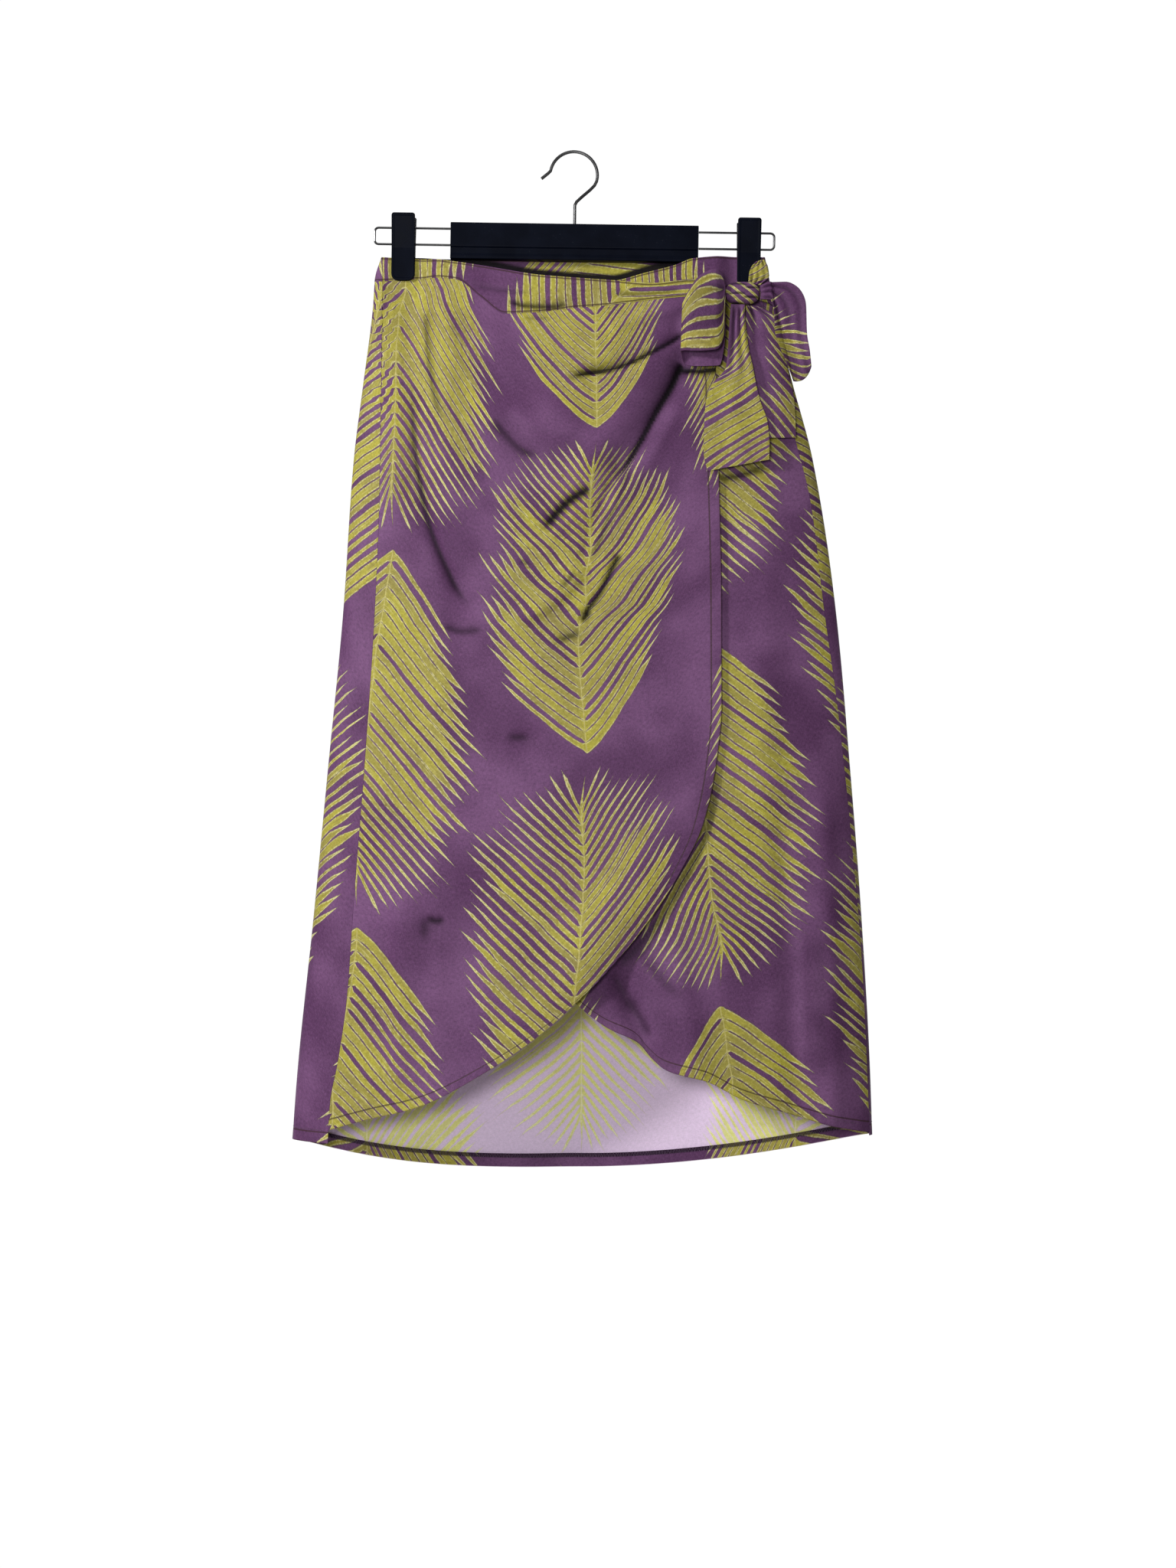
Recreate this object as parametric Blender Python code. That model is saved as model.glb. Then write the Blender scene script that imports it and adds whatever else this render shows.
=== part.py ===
"""Wrap skirt with a tied bow at the waist, hanging from a clip hanger.

The origin is the highest point inside the hook, +Z is up and the front of the skirt faces -Y.
Sizes are in millimetres and become metres when a mesh is made.
"""
import math

import bmesh
import bpy
import numpy as np

MM = 0.001

# Cloth
CLOTH = 1.2                 # wall of the cloth
SEAM = 0.3                  # space between pieces that are sewn or lie together
OVERLAP_LIFT = 2.8          # overlap above the underlap
UNDERLAP_SINK = 4.5         # how far the covered part of the underlap lies back
TURN_UP = 13.0              # turned-up band inside the back hem
TURN_UP_RISE = 0.6          # its lower edge above the hem
ROWS = 24                   # rows of every panel between the waistband and the front hem
OVERLAP_COLUMNS = 22
UNDERLAP_COLUMNS = 18
BACK_COLUMNS = 36

# Hanger
HANGER_TILT = math.radians(0.85)
HOOK_RADIUS = 22.2
HOOK_WIRE = 3.0
BAR_LEFT = -115.0
BAR_RIGHT = 118.0
BAR_TOP = 67.2              # drop of the bar's top below the origin at the middle
BAR_HEIGHT = 34.0
BAR_DEPTH = 10.0
LOOP_WIRE = 2.2
LOOP_REACH = 71.0           # how far a wire loop stands out of the bar
LOOP_DROP = 5.4             # upper leg below the top of the bar
LOOP_HEIGHT = 15.4
CLIP_WIDTH = 22.0
CLIP_LENGTH = 62.6
CLIP_THICK = 3.6
CLIP_GRIP = 2.5             # inner face of a jaw from the middle plane
CLIP_SPREAD = math.radians(12)
CLIP_ABOVE = 12.3           # top of a clip above the upper leg of its wire loop
CLIP_LEFT = -159.0
CLIP_RIGHT = 165.5
CORE_WIDTH = 16.0
PINCH_FLAT = 12.5           # half the width that a clip presses flat
PINCH_FADE = 21.5           # width over which the cloth opens again beside it
PINCH_DROP = 85.0           # drop over which it opens again below it
PINCH_DEPTH = 1.6           # middle of a cloth wall from the middle plane under a clip

# Knot of the tie
KNOT_X = 157.0
KNOT_DROP = 135.0
KNOT_OUT = 13.0
KNOT_SIZE = (32.0, 18.0, 21.0)


def table(columns, rows):
    """Columns by name, each one an array down the rows."""
    names = columns.split()
    return {name: np.array([row[i] for row in rows], float) for i, name in enumerate(names)}


# Outline of the worn tube of cloth at several drops below the hook, and how far it bellies out
SECTIONS = table("drop left right front back", [
    (98, -181, 179, 14, 9),
    (118, -187, 183, 18, 10),
    (145, -189, 187, 21, 12),
    (216, -198, 205, 27, 19),
    (288, -207, 224, 31, 25),
    (432, -217, 246, 37, 32),
    (576, -231, 259, 44, 38),
    (720, -245, 270, 50, 43),
    (864, -260, 278, 55, 46),
    (960, -267, 281, 57, 48),
])

# Where the two side seams run, as seen from the front
LEFT_SEAM = table("drop x", [
    (98, -180), (121, -180), (330, -182), (433, -186), (575, -195), (705, -205), (792, -211),
    (849, -219), (892, -227), (930, -229),
])
RIGHT_SEAM = table("drop x", [
    (98, 177), (128, 177), (196, 190), (270, 207), (327, 221), (431, 234), (525, 247), (648, 260),
    (765, 270), (851, 274), (930, 277),
])

# Free edge of the overlap, from the tie down and round to the left corner of its hem
OVERLAP_SIDE = table("x drop", [
    (130, 134), (134, 308), (136, 420), (136, 520), (131, 572), (119, 628), (96, 676), (58, 732), (18, 778),
])
OVERLAP_HEM = table("x drop", [
    (18, 778), (-28, 821), (-84, 860), (-146, 892), (-192, 904), (-229, 915),
])

# Free edge of the underlap: hidden up to the overlap's edge, then its hem up to the right corner
UNDERLAP_SIDE = table("x drop", [
    (-118, 148), (-118, 308), (-120, 520), (-117, 572), (-108, 628), (-90, 676), (-54, 732),
])
UNDERLAP_HEM = table("x drop", [
    (-54, 732), (-8, 786), (30, 817), (60, 832), (72, 846), (86, 857), (122, 867), (155, 884), (202, 899),
    (240, 911), (276, 919),
])

# Top edge and lower seam of each waistband
OVERLAP_BAND = table("x top seam", [
    (-181, 98, 121), (-147, 100, 119), (-110, 105, 122), (-86, 109, 140), (-64, 113, 155), (-35, 118, 154),
    (0, 121, 150), (36, 123.5, 147), (72, 126, 142), (110, 122, 138), (130, 123, 136),
])
UNDERLAP_BAND = table("x top seam", [
    (-118, 111, 136), (-60, 122, 150), (0, 127, 156), (40, 123, 152), (65, 116, 146), (94, 108, 138),
    (112, 101, 131), (150, 98, 128), (176, 98, 128),
])
BACK_BAND = table("x top seam", [
    (-181, 98, 121), (-100, 98.5, 129), (0, 99, 130), (100, 98.5, 129), (180, 98, 128),
])

# Folds: soft ridges (height above 0) and troughs (below 0) along a straight run
OVERLAP_FOLDS = [
    # name, from x, from drop, to x, to drop, half width, height
    ("drag under the bow", 104, 200, 44, 296, 11, -4.6),
    ("drag tail", 44, 296, 10, 362, 9, -2.4),
    ("ridge beside the drag", 80, 186, 12, 296, 14, 3.4),
    ("crease to the knot", 96, 168, 16, 212, 8, -2.2),
    ("upper pleat at the knot", 118, 140, 40, 166, 7, 2.2),
    ("clip fold, upper", -156, 138, -148, 316, 12, -3.2),
    ("clip fold, lower", -148, 316, -98, 426, 12, -2.4),
    ("ridge beside the clip fold", -122, 160, -112, 340, 15, 2.6),
    ("centre bulge", -66, 258, -10, 254, 26, 3.6),
    ("centre crease", 34, 318, 8, 386, 6, -1.8),
    ("centre ridge", 4, 392, -46, 436, 8, 1.8),
    ("lower dent", -66, 548, -38, 556, 14, -1.6),
    ("hem wave, left", -150, 690, -168, 860, 22, 3.4),
    ("hem trough", -96, 700, -104, 846, 20, -2.6),
    ("apex roll", 60, 690, -6, 776, 24, 4.5),
]
UNDERLAP_FOLDS = [
    ("trough at the free hem", 40, 772, 72, 846, 10, -4.0),
    ("ridge beside it", 92, 740, 112, 856, 14, 3.0),
    ("side wave, inner", 196, 640, 206, 890, 12, -2.2),
    ("side wave, outer", 232, 620, 240, 900, 12, 2.2),
    ("long soft fold", 172, 330, 178, 600, 18, 2.4),
]
BACK_FOLDS = [
    ("below the left clip", -150, 140, -140, 420, 18, 4.0),
    ("below the right clip", 158, 140, 150, 440, 18, 4.0),
    ("left fold", -96, 330, -128, 900, 24, -3.6),
    ("middle fold", 10, 420, -6, 930, 26, 3.4),
    ("right fold", 108, 350, 150, 900, 24, -3.4),
]

# Stretches of the tie: both edges of the strip at each station and how far it stands off the skirt
LEFT_LOOP = table("ax adrop ao bx bdrop bo", [
    (140.4, 128, 16, 140.4, 142, 16),
    (137, 119, 18, 139, 176, 16),
    (130, 116, 21, 132, 191, 19),
    (117, 122, 22, 117, 193, 21),
    (106, 137, 20, 103, 192, 19),
    (100.5, 148, 15, 99, 192, 13),
    (105, 146, 9.5, 103, 203, 7),
    (118, 136, 7, 119, 205, 5),
    (131, 129, 7, 135, 204, 5),
    (138, 128, 8, 141, 168, 8),
    (140.4, 130, 10, 140.4, 141, 10),
])
RIGHT_LOOP = table("ax adrop ao bx bdrop bo", [
    (173.6, 128, 16, 173.6, 141, 16),
    (184, 125, 18, 183, 142, 18),
    (197, 125, 20, 189, 149, 19),
    (209, 131, 22, 192, 158, 20),
    (216, 146, 22, 192, 169, 21),
    (217, 172, 21, 193, 182, 20),
    (220, 193, 19, 197, 199, 18),
    (223, 209, 14, 204, 219, 12),
    (220, 206, 9, 205, 212, 7),
    (213, 180, 7, 199, 186, 6),
    (208, 152, 7, 197, 166, 6),
    (196, 131, 8, 190, 150, 7),
    (184, 129, 9, 183, 144, 8),
    (173.6, 130, 10, 173.6, 141, 10),
])
LONG_TAIL = table("ax adrop ao bx bdrop bo", [
    (146, 146, 15, 159, 146, 15),
    (144.5, 166, 14, 160, 166, 14.5),
    (143, 186, 12, 162, 186, 13),
    (141, 206, 9, 166, 206, 12),
    (127, 224, 7, 169, 222, 11),
    (122, 240, 6.5, 173, 238, 10),
    (120.5, 262, 6, 179.5, 256, 8.5),
    (120, 285, 6, 181.5, 276, 8),
    (123.5, 303.5, 6, 181, 292, 8),
])
SHORT_TAIL = table("ax adrop ao bx bdrop bo", [
    (160.5, 146, 9, 171, 146, 9),
    (160, 158, 9, 187, 156, 10),
    (159, 178, 8, 193, 176, 9),
    (158, 208, 6, 200, 206, 6),
    (160, 240, 4.5, 206, 238, 4.5),
    (163, 272, 4.5, 207, 270, 4),
])
FRONT_STRAP = table("ax adrop ao bx bdrop bo", [
    (130.6, 123.2, 0, 130.6, 135.8, 0),
    (135, 125, 2, 135, 137, 2),
    (140.4, 127, 5, 140.4, 139, 5),
])
SIDE_STRAP = table("ax adrop ao bx bdrop bo", [
    (171, 103.5, 5, 178, 101.5, 4),
    (166, 109, 7, 181.5, 107.5, 5),
    (163.5, 116, 9, 182.5, 117, 7),
    (163, 124.3, 11, 174, 126.5, 10),
])


def smooth(at, knots, values):
    """Monotone cubic through the values, held level beyond both ends."""
    step = np.diff(knots)
    slope = np.diff(values) / step
    tangent = np.zeros_like(values)
    same_way = slope[:-1] * slope[1:] > 0
    w1 = 2 * step[1:] + step[:-1]
    w2 = step[1:] + 2 * step[:-1]
    safe = np.where(same_way, slope[:-1] * slope[1:], 1.0)
    blend = (w1 + w2) * safe / (w1 * slope[1:] + w2 * slope[:-1] + (~same_way) * 1e9)
    tangent[1:-1] = np.where(same_way, blend, 0.0)
    tangent[0], tangent[-1] = slope[0], slope[-1]
    at = np.clip(np.asarray(at, float), knots[0], knots[-1])
    i = np.clip(np.searchsorted(knots, at, side="right") - 1, 0, len(step) - 1)
    h = step[i]
    t = (at - knots[i]) / h
    rise = values[i] * (1 + 2 * t) * (1 - t) ** 2 + values[i + 1] * t * t * (3 - 2 * t)
    return rise + h * tangent[i] * t * (1 - t) ** 2 - h * tangent[i + 1] * t * t * (1 - t)


def ease(at, start, end):
    """0 before start, 1 after end, smooth between."""
    t = np.clip((np.asarray(at, float) - start) / (end - start), 0.0, 1.0)
    return t * t * (3 - 2 * t)


def along(path, count):
    """Points at even spacing along a smooth line through a table of x and drop."""
    reach = np.concatenate([[0], np.cumsum(np.hypot(np.diff(path["x"]), np.diff(path["drop"])))])
    fine = np.linspace(0, reach[-1], 400)
    x, drop = (smooth(fine, reach, path[name]) for name in ("x", "drop"))
    length = np.concatenate([[0], np.cumsum(np.hypot(np.diff(x), np.diff(drop)))])
    even = np.linspace(0, length[-1], count)
    return np.interp(even, length, x), np.interp(even, length, drop)


def section(name, drop):
    return smooth(drop, SECTIONS["drop"], SECTIONS[name])


def middle_and_half(drop):
    left, right = section("left", drop), section("right", drop)
    return (left + right) / 2, (right - left) / 2


def turn_at(x, drop):
    """Quarter turns round the tube, 0 at the middle of the front and 1 at the right side."""
    middle, half = middle_and_half(drop)
    return np.arcsin(np.clip((x - middle) / half, -0.9999, 0.9999)) / (math.pi / 2)


def pinched(x, drop):
    """1 where a clip presses the cloth flat, 0 away from it."""
    total = np.zeros(np.broadcast(x, drop).shape)
    for clip_x in (CLIP_LEFT, CLIP_RIGHT):
        bottom = clip_top(clip_x) + CLIP_LENGTH
        beside = 1 - ease(np.abs(x - clip_x), PINCH_FLAT, PINCH_FLAT + PINCH_FADE)
        below = 1 - ease(drop, bottom + 3, bottom + PINCH_DROP)
        total = np.maximum(total, beside * below)
    return total


def tube(turn, drop, lift=0.0):
    """Point on the worn tube of cloth, moved out by lift."""
    middle, half = middle_and_half(drop)
    angle = turn * math.pi / 2
    depth = np.where(np.cos(angle) >= 0, section("front", drop), section("back", drop))
    x = middle + half * np.sin(angle)
    y = -depth * np.cos(angle)
    press = pinched(x, drop)
    y = y * (1 - press) + np.sign(y) * np.minimum(np.abs(y), PINCH_DEPTH) * press
    out_x, out_y = depth * np.sin(angle), -half * np.cos(angle)
    size = np.hypot(out_x, out_y)
    return np.stack([x + lift * out_x / size, y + lift * out_y / size, -drop + 0 * x], axis=-1)


def fold_height(x, drop, folds):
    """Sum of the soft ridges and troughs at a place on a panel."""
    height = np.zeros(np.broadcast(x, drop).shape)
    for _, x0, d0, x1, d1, width, rise in folds:
        run = np.array([x1 - x0, d1 - d0])
        share = np.clip(((x - x0) * run[0] + (drop - d0) * run[1]) / run.dot(run), 0, 1)
        away = np.hypot(x - x0 - share * run[0], drop - d0 - share * run[1])
        height += rise * np.exp(-(away / width) ** 2)
    return height


def overlap_lift(x, drop):
    """How far the overlap stands off the tube, least at the left seam and most at its low apex."""
    base = OVERLAP_LIFT * ease(x, -146, -122)
    free = 2.0 * ease(x, 40, 130) * ease(drop, 150, 240)
    apex = 6.5 * np.exp(-((x - 30) / 90) ** 2 - ((drop - 780) / 110) ** 2)
    calm = ease(drop, 124, 160) * ease(x, -178, -160)
    return base + free + apex + calm * fold_height(x, drop, OVERLAP_FOLDS)


def underlap_lift(x, drop):
    """The covered part lies back from the overlap and the part in view lies on the tube."""
    free_edge = smooth(drop, OVERLAP_SIDE["drop"], OVERLAP_SIDE["x"])
    covered = (1 - ease(x, free_edge - 40, free_edge + 4)) * (1 - ease(drop, 660, 778)) * ease(drop, 120, 170)
    hem = -1.2 * np.exp(-((x - 10) / 60) ** 2 - ((drop - 800) / 60) ** 2)
    return hem - UNDERLAP_SINK * covered + fold_height(x, drop, UNDERLAP_FOLDS)


def back_lift(x, drop):
    return ease(drop, 130, 170) * fold_height(x, drop, BACK_FOLDS)


def back_hem(x, turn=-2.0):
    """Drop of the back panel's hem, lowest at the middle of the back and level round to the front."""
    share = np.clip((x - 7) / 273, -1, 1)
    dip = np.where(np.cos(turn * math.pi / 2) < 0, 36, 4)
    return 926 - 2 * (share + 1) + dip * (1 - np.abs(share) ** np.where(share < 0, 3.0, 2.0))


def outside(x, drop):
    """Depth of the overlap's middle surface, carried on past its free edge."""
    return -tube(turn_at(x, drop), drop, overlap_lift(x, drop))[..., 1]


def coons(top, bottom, left, right):
    """Fill between four edges given as (rows or columns, 2)."""
    s = np.linspace(0, 1, len(top))[None, :, None]
    t = np.linspace(0, 1, len(left))[:, None, None]
    across = (1 - s) * left[:, None] + s * right[:, None]
    down = (1 - t) * top[None] + t * bottom[None]
    corners = ((1 - s) * (1 - t) * top[0] + s * (1 - t) * top[-1]
               + (1 - s) * t * bottom[0] + s * t * bottom[-1])
    return across + down - corners


def edge(x, drop):
    """Edge of a panel in quarter turns and drop."""
    x, drop = np.broadcast_arrays(np.asarray(x, float), np.asarray(drop, float))
    return np.stack([turn_at(x, drop), drop], axis=-1)


def seam_rows(seam, top, bottom, shift):
    """The rows of a panel down one side seam, moved sideways by shift."""
    drop = np.linspace(top, bottom, ROWS + 1)
    return edge(smooth(drop, seam["drop"], seam["x"]) + shift, drop)


def normals(grid):
    """Unit normals of a grid of points."""
    down = np.gradient(grid, axis=0)
    across = np.gradient(grid, axis=1)
    normal = np.cross(across, down)
    return normal / np.linalg.norm(normal, axis=-1, keepdims=True)


def paint(name, colour, roughness, metallic=0.0):
    material = bpy.data.materials.get(name)
    if material:
        return material
    material = bpy.data.materials.new(name)
    material.use_nodes = True
    shader = material.node_tree.nodes["Principled BSDF"]
    shader.inputs["Base Color"].default_value = (*colour, 1.0)
    shader.inputs["Roughness"].default_value = roughness
    shader.inputs["Metallic"].default_value = metallic
    return material


def add(name, bm, material):
    """Make an object from a bmesh in millimetres, with its faces pointing out."""
    bmesh.ops.scale(bm, vec=(MM, MM, MM), verts=bm.verts)
    if bm.calc_volume(signed=True) < 0:
        bmesh.ops.reverse_faces(bm, faces=bm.faces)
    mesh = bpy.data.meshes.new(name)
    bm.to_mesh(mesh)
    bm.free()
    mesh.shade_smooth()
    mesh.set_sharp_from_angle(angle=math.radians(40))
    mesh.materials.append(material)
    obj = bpy.data.objects.new(name, mesh)
    bpy.context.collection.objects.link(obj)
    return obj


def wall(name, sides, material):
    """A wall of cloth between its outer and its inner grid of points."""
    rows, columns = sides[0].shape[:2]
    bm = bmesh.new()
    outer, inner = [[[bm.verts.new(point) for point in row] for row in side] for side in sides]

    def quad(a, b, c, d):
        """Two triangles across the shorter diagonal."""
        if (a.co - c.co).length <= (b.co - d.co).length:
            faces = ((a, b, c), (a, c, d))
        else:
            faces = ((a, b, d), (b, c, d))
        for face in faces:
            bm.faces.new(face)

    for j in range(rows - 1):
        for i in range(columns - 1):
            quad(outer[j][i], outer[j + 1][i], outer[j + 1][i + 1], outer[j][i + 1])
            quad(inner[j][i], inner[j][i + 1], inner[j + 1][i + 1], inner[j + 1][i])
    for i in range(columns - 1):
        quad(outer[0][i], outer[0][i + 1], inner[0][i + 1], inner[0][i])
        quad(outer[-1][i + 1], outer[-1][i], inner[-1][i], inner[-1][i + 1])
    for j in range(rows - 1):
        quad(outer[j + 1][0], outer[j][0], inner[j][0], inner[j + 1][0])
        quad(outer[j][-1], outer[j + 1][-1], inner[j + 1][-1], inner[j][-1])
    return add(name, bm, material)


def worn(name, turn, drop, lift_of, material):
    """A wall of cloth on the tube, where lift_of says how far it stands off at x and drop."""
    lift = lift_of(tube(turn, drop)[..., 0], drop)
    wall(name, [tube(turn, drop, lift + side * CLOTH / 2) for side in (1, -1)], material)


def free(name, grid, material):
    """A wall of cloth round a grid of middle points."""
    offset = normals(grid) * CLOTH / 2
    wall(name, [grid + offset, grid - offset], material)


def waist_columns(start, end, count):
    """Even columns along the waist, with one moved to each side of a clip."""
    x = np.linspace(start, end, count + 1)
    for clip_x in (CLIP_LEFT, CLIP_RIGHT):
        for target in (clip_x - PINCH_FLAT, clip_x + PINCH_FLAT):
            if start + 2 < target < end - 2:
                x[1 + np.abs(x[1:-1] - target).argmin()] = target
    return x


def overlap_columns():
    start = smooth(OVERLAP_BAND["seam"][0], LEFT_SEAM["drop"], LEFT_SEAM["x"]) + SEAM
    return waist_columns(start, OVERLAP_SIDE["x"][0], OVERLAP_COLUMNS)


def underlap_columns():
    end = smooth(UNDERLAP_BAND["seam"][-1], RIGHT_SEAM["drop"], RIGHT_SEAM["x"]) - SEAM
    return waist_columns(UNDERLAP_SIDE["x"][0], end, UNDERLAP_COLUMNS)


def overlap_panel():
    """Turns and drops of the overlap's grid."""
    top_x = overlap_columns()
    top = edge(top_x, smooth(top_x, OVERLAP_BAND["x"], OVERLAP_BAND["seam"]) + SEAM / 2)
    left = seam_rows(LEFT_SEAM, top[0, 1], OVERLAP_HEM["drop"][-1], SEAM)
    side_x, side_drop = along(OVERLAP_SIDE, ROWS + 1)
    side_drop = side_drop + (top[-1, 1] - side_drop[0]) * np.linspace(1, 0, ROWS + 1)
    hem_x, hem_drop = along(OVERLAP_HEM, OVERLAP_COLUMNS + 1)
    bottom = edge(hem_x[::-1], hem_drop[::-1])
    bottom[0], right = left[-1], edge(side_x, side_drop)
    return np.moveaxis(coons(top, bottom, left, right), -1, 0)


def underlap_panel():
    """Turns and drops of the underlap's grid."""
    top_x = underlap_columns()
    top = edge(top_x, smooth(top_x, UNDERLAP_BAND["x"], UNDERLAP_BAND["seam"]) + SEAM / 2)
    right = seam_rows(RIGHT_SEAM, top[-1, 1], UNDERLAP_HEM["drop"][-1], -SEAM)
    side_x, side_drop = along(UNDERLAP_SIDE, ROWS + 1)
    side_drop = side_drop + (top[0, 1] - side_drop[0]) * np.linspace(1, 0, ROWS + 1)
    hem_x, hem_drop = along(UNDERLAP_HEM, UNDERLAP_COLUMNS + 1)
    bottom = edge(hem_x, hem_drop)
    bottom[-1], left = right[-1], edge(side_x, side_drop)
    return np.moveaxis(coons(top, bottom, left, right), -1, 0)


def back_grid(lines):
    """Turns and drops of rows that run from the left seam round the back to the right seam.

    Each line gives a row's drop at x and turn.
    """
    share = np.linspace(0, 1, BACK_COLUMNS + 1)
    turns, drops = [], []
    for line in lines:
        drop = np.full(BACK_COLUMNS + 1, 500.0)
        for _ in range(6):
            left_x = smooth(drop[0], LEFT_SEAM["drop"], LEFT_SEAM["x"]) - SEAM
            right_x = smooth(drop[-1], RIGHT_SEAM["drop"], RIGHT_SEAM["x"]) + SEAM
            start, end = turn_at(left_x, drop[0]), turn_at(right_x, drop[-1]) - 4
            turn = start + (end - start) * share
            drop = line(tube(turn, drop)[..., 0], turn)
        turns.append(turn)
        drops.append(drop)
    return np.array(turns), np.array(drops)


def back_band_edge(name, x):
    return smooth(x, BACK_BAND["x"], BACK_BAND[name])


def back_panel():
    """Even rows from the waist seam to the top of the turn-up, and the hem below them."""
    def row(share):
        return lambda x, turn: ((back_band_edge("seam", x) + SEAM / 2) * (1 - share)
                                + (back_hem(x, turn) - TURN_UP) * share)
    return back_grid([row(share) for share in np.linspace(0, 1, ROWS + 1)] + [back_hem])


def back_walls(turn, drop, material):
    """The back panel as four walls, parted by a seam's width at hip height and down the middle of the back."""
    middle, hip = BACK_COLUMNS // 2, ROWS // 2
    half = middle_and_half(drop[:, middle])[1]
    shift = SEAM / (math.pi * half)
    for height, rows, cut_row, down in (("upper", slice(None, hip + 1), -1, -1), ("lower", slice(hip, None), 0, 1)):
        for side, columns, cut, way in (("left", slice(None, middle + 1), -1, 1), ("right", slice(middle, None), 0, -1)):
            wall_turn, wall_drop = turn[rows, columns].copy(), drop[rows, columns].copy()
            wall_turn[:, cut] += way * shift[rows]
            wall_drop[cut_row] += down * SEAM / 2
            worn(f"back_panel_{height}_{side}", wall_turn, wall_drop, back_lift, material)


def back_band():
    def row(share):
        return lambda x, turn: (back_band_edge("top", x) * (1 - share)
                                + (back_band_edge("seam", x) - SEAM / 2) * share)
    return back_grid([row(share) for share in np.linspace(0, 1, 3)])


def front_band(band, x):
    """Turns and drops of a front waistband between its top edge and its lower seam."""
    top = smooth(x, band["x"], band["top"])
    seam = smooth(x, band["x"], band["seam"]) - SEAM / 2
    drop = np.array([top + (seam - top) * share for share in np.linspace(0, 1, 3)])
    return turn_at(np.broadcast_to(x, drop.shape), drop), drop


def strip_grid(stations, rows, columns, waves=0, height=0.0):
    """Middle points of a stretch of the tie, with gathers that fade towards its free end."""
    knots = np.arange(len(stations["ax"]), dtype=float)
    at = np.linspace(0, knots[-1], rows + 1)
    line = {name: smooth(at, knots, values) for name, values in stations.items()}
    share = np.linspace(0, 1, columns + 1)[None, :]
    x = line["ax"][:, None] * (1 - share) + line["bx"][:, None] * share
    drop = line["adrop"][:, None] * (1 - share) + line["bdrop"][:, None] * share
    out = line["ao"][:, None] * (1 - share) + line["bo"][:, None] * share
    fade = 1 - 0.6 * np.linspace(0, 1, rows + 1)[:, None]
    out = out + height * fade * np.sin(2 * math.pi * waves * share)
    return np.stack([x, -(outside(x, drop) + out), -drop], axis=-1)


def knot(name, material):
    """A flattened round wrap of cloth with a few gathers across it."""
    width, depth, height = KNOT_SIZE
    centre_y = -(outside(np.array(KNOT_X), np.array(KNOT_DROP)) + KNOT_OUT)
    bm = bmesh.new()
    bmesh.ops.create_uvsphere(bm, u_segments=20, v_segments=12, radius=1.0)
    for vert in bm.verts:
        x, y, z = vert.co
        squared = (abs(x) ** 3.2 + abs(y) ** 3.2 + abs(z) ** 3.2) ** (1 / 3.2)
        gather = 1 + 0.035 * math.sin(9 * z / squared + 2.0 * x / squared)
        vert.co = (KNOT_X + x / squared * width / 2,
                   centre_y + y / squared * depth / 2 * (gather if y < 0 else 1.0),
                   -KNOT_DROP + z / squared * height / 2)
    return add(name, bm, material)


def tilted(points):
    """Turn points about the hook for the slight tilt of the hanger."""
    c, s = math.cos(HANGER_TILT), math.sin(HANGER_TILT)
    return [(x * c + z * s, y, z * c - x * s) for x, y, z in points]


def clip_top(clip_x):
    """Drop of a clip's top, on the tilted hanger."""
    return BAR_TOP + LOOP_DROP - CLIP_ABOVE + clip_x * math.tan(HANGER_TILT)


def extruded(name, profile, x0, x1, material, bevel, segments=2):
    """A profile of (y, z) points carried from x0 to x1, with softened edges."""
    bm = bmesh.new()
    rings = [[bm.verts.new(point) for point in tilted([(x, y, z) for y, z in profile])] for x in (x0, x1)]
    for ring in rings:
        bm.faces.new(ring)
    for i in range(len(profile)):
        k = (i + 1) % len(profile)
        bm.faces.new((rings[0][i], rings[0][k], rings[1][k], rings[1][i]))
    bmesh.ops.recalc_face_normals(bm, faces=bm.faces)
    obj = add(name, bm, material)
    soft = obj.modifiers.new("Soft edges", "BEVEL")
    soft.width = bevel * MM
    soft.segments = segments
    soft.limit_method = "ANGLE"
    soft.angle_limit = math.radians(30)
    return obj


def wire(name, points, diameter, material, resolution=2):
    """A round wire along points in millimetres."""
    data = bpy.data.curves.new(name, "CURVE")
    data.dimensions = "3D"
    data.bevel_depth = diameter / 2 * MM
    data.bevel_resolution = resolution
    data.use_fill_caps = True
    spline = data.splines.new("POLY")
    spline.points.add(len(points) - 1)
    for target, (x, y, z) in zip(spline.points, tilted(points)):
        target.co = (x * MM, y * MM, z * MM, 1.0)
    data.materials.append(material)
    obj = bpy.data.objects.new(name, data)
    bpy.context.collection.objects.link(obj)
    return obj


def arc(centre, radius, start, end, steps):
    """Points on an arc in the XZ plane, angles in degrees."""
    angles = np.radians(np.linspace(start, end, steps + 1))
    return [(centre[0] + radius * math.cos(a), 0.0, centre[1] + radius * math.sin(a)) for a in angles]


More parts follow.
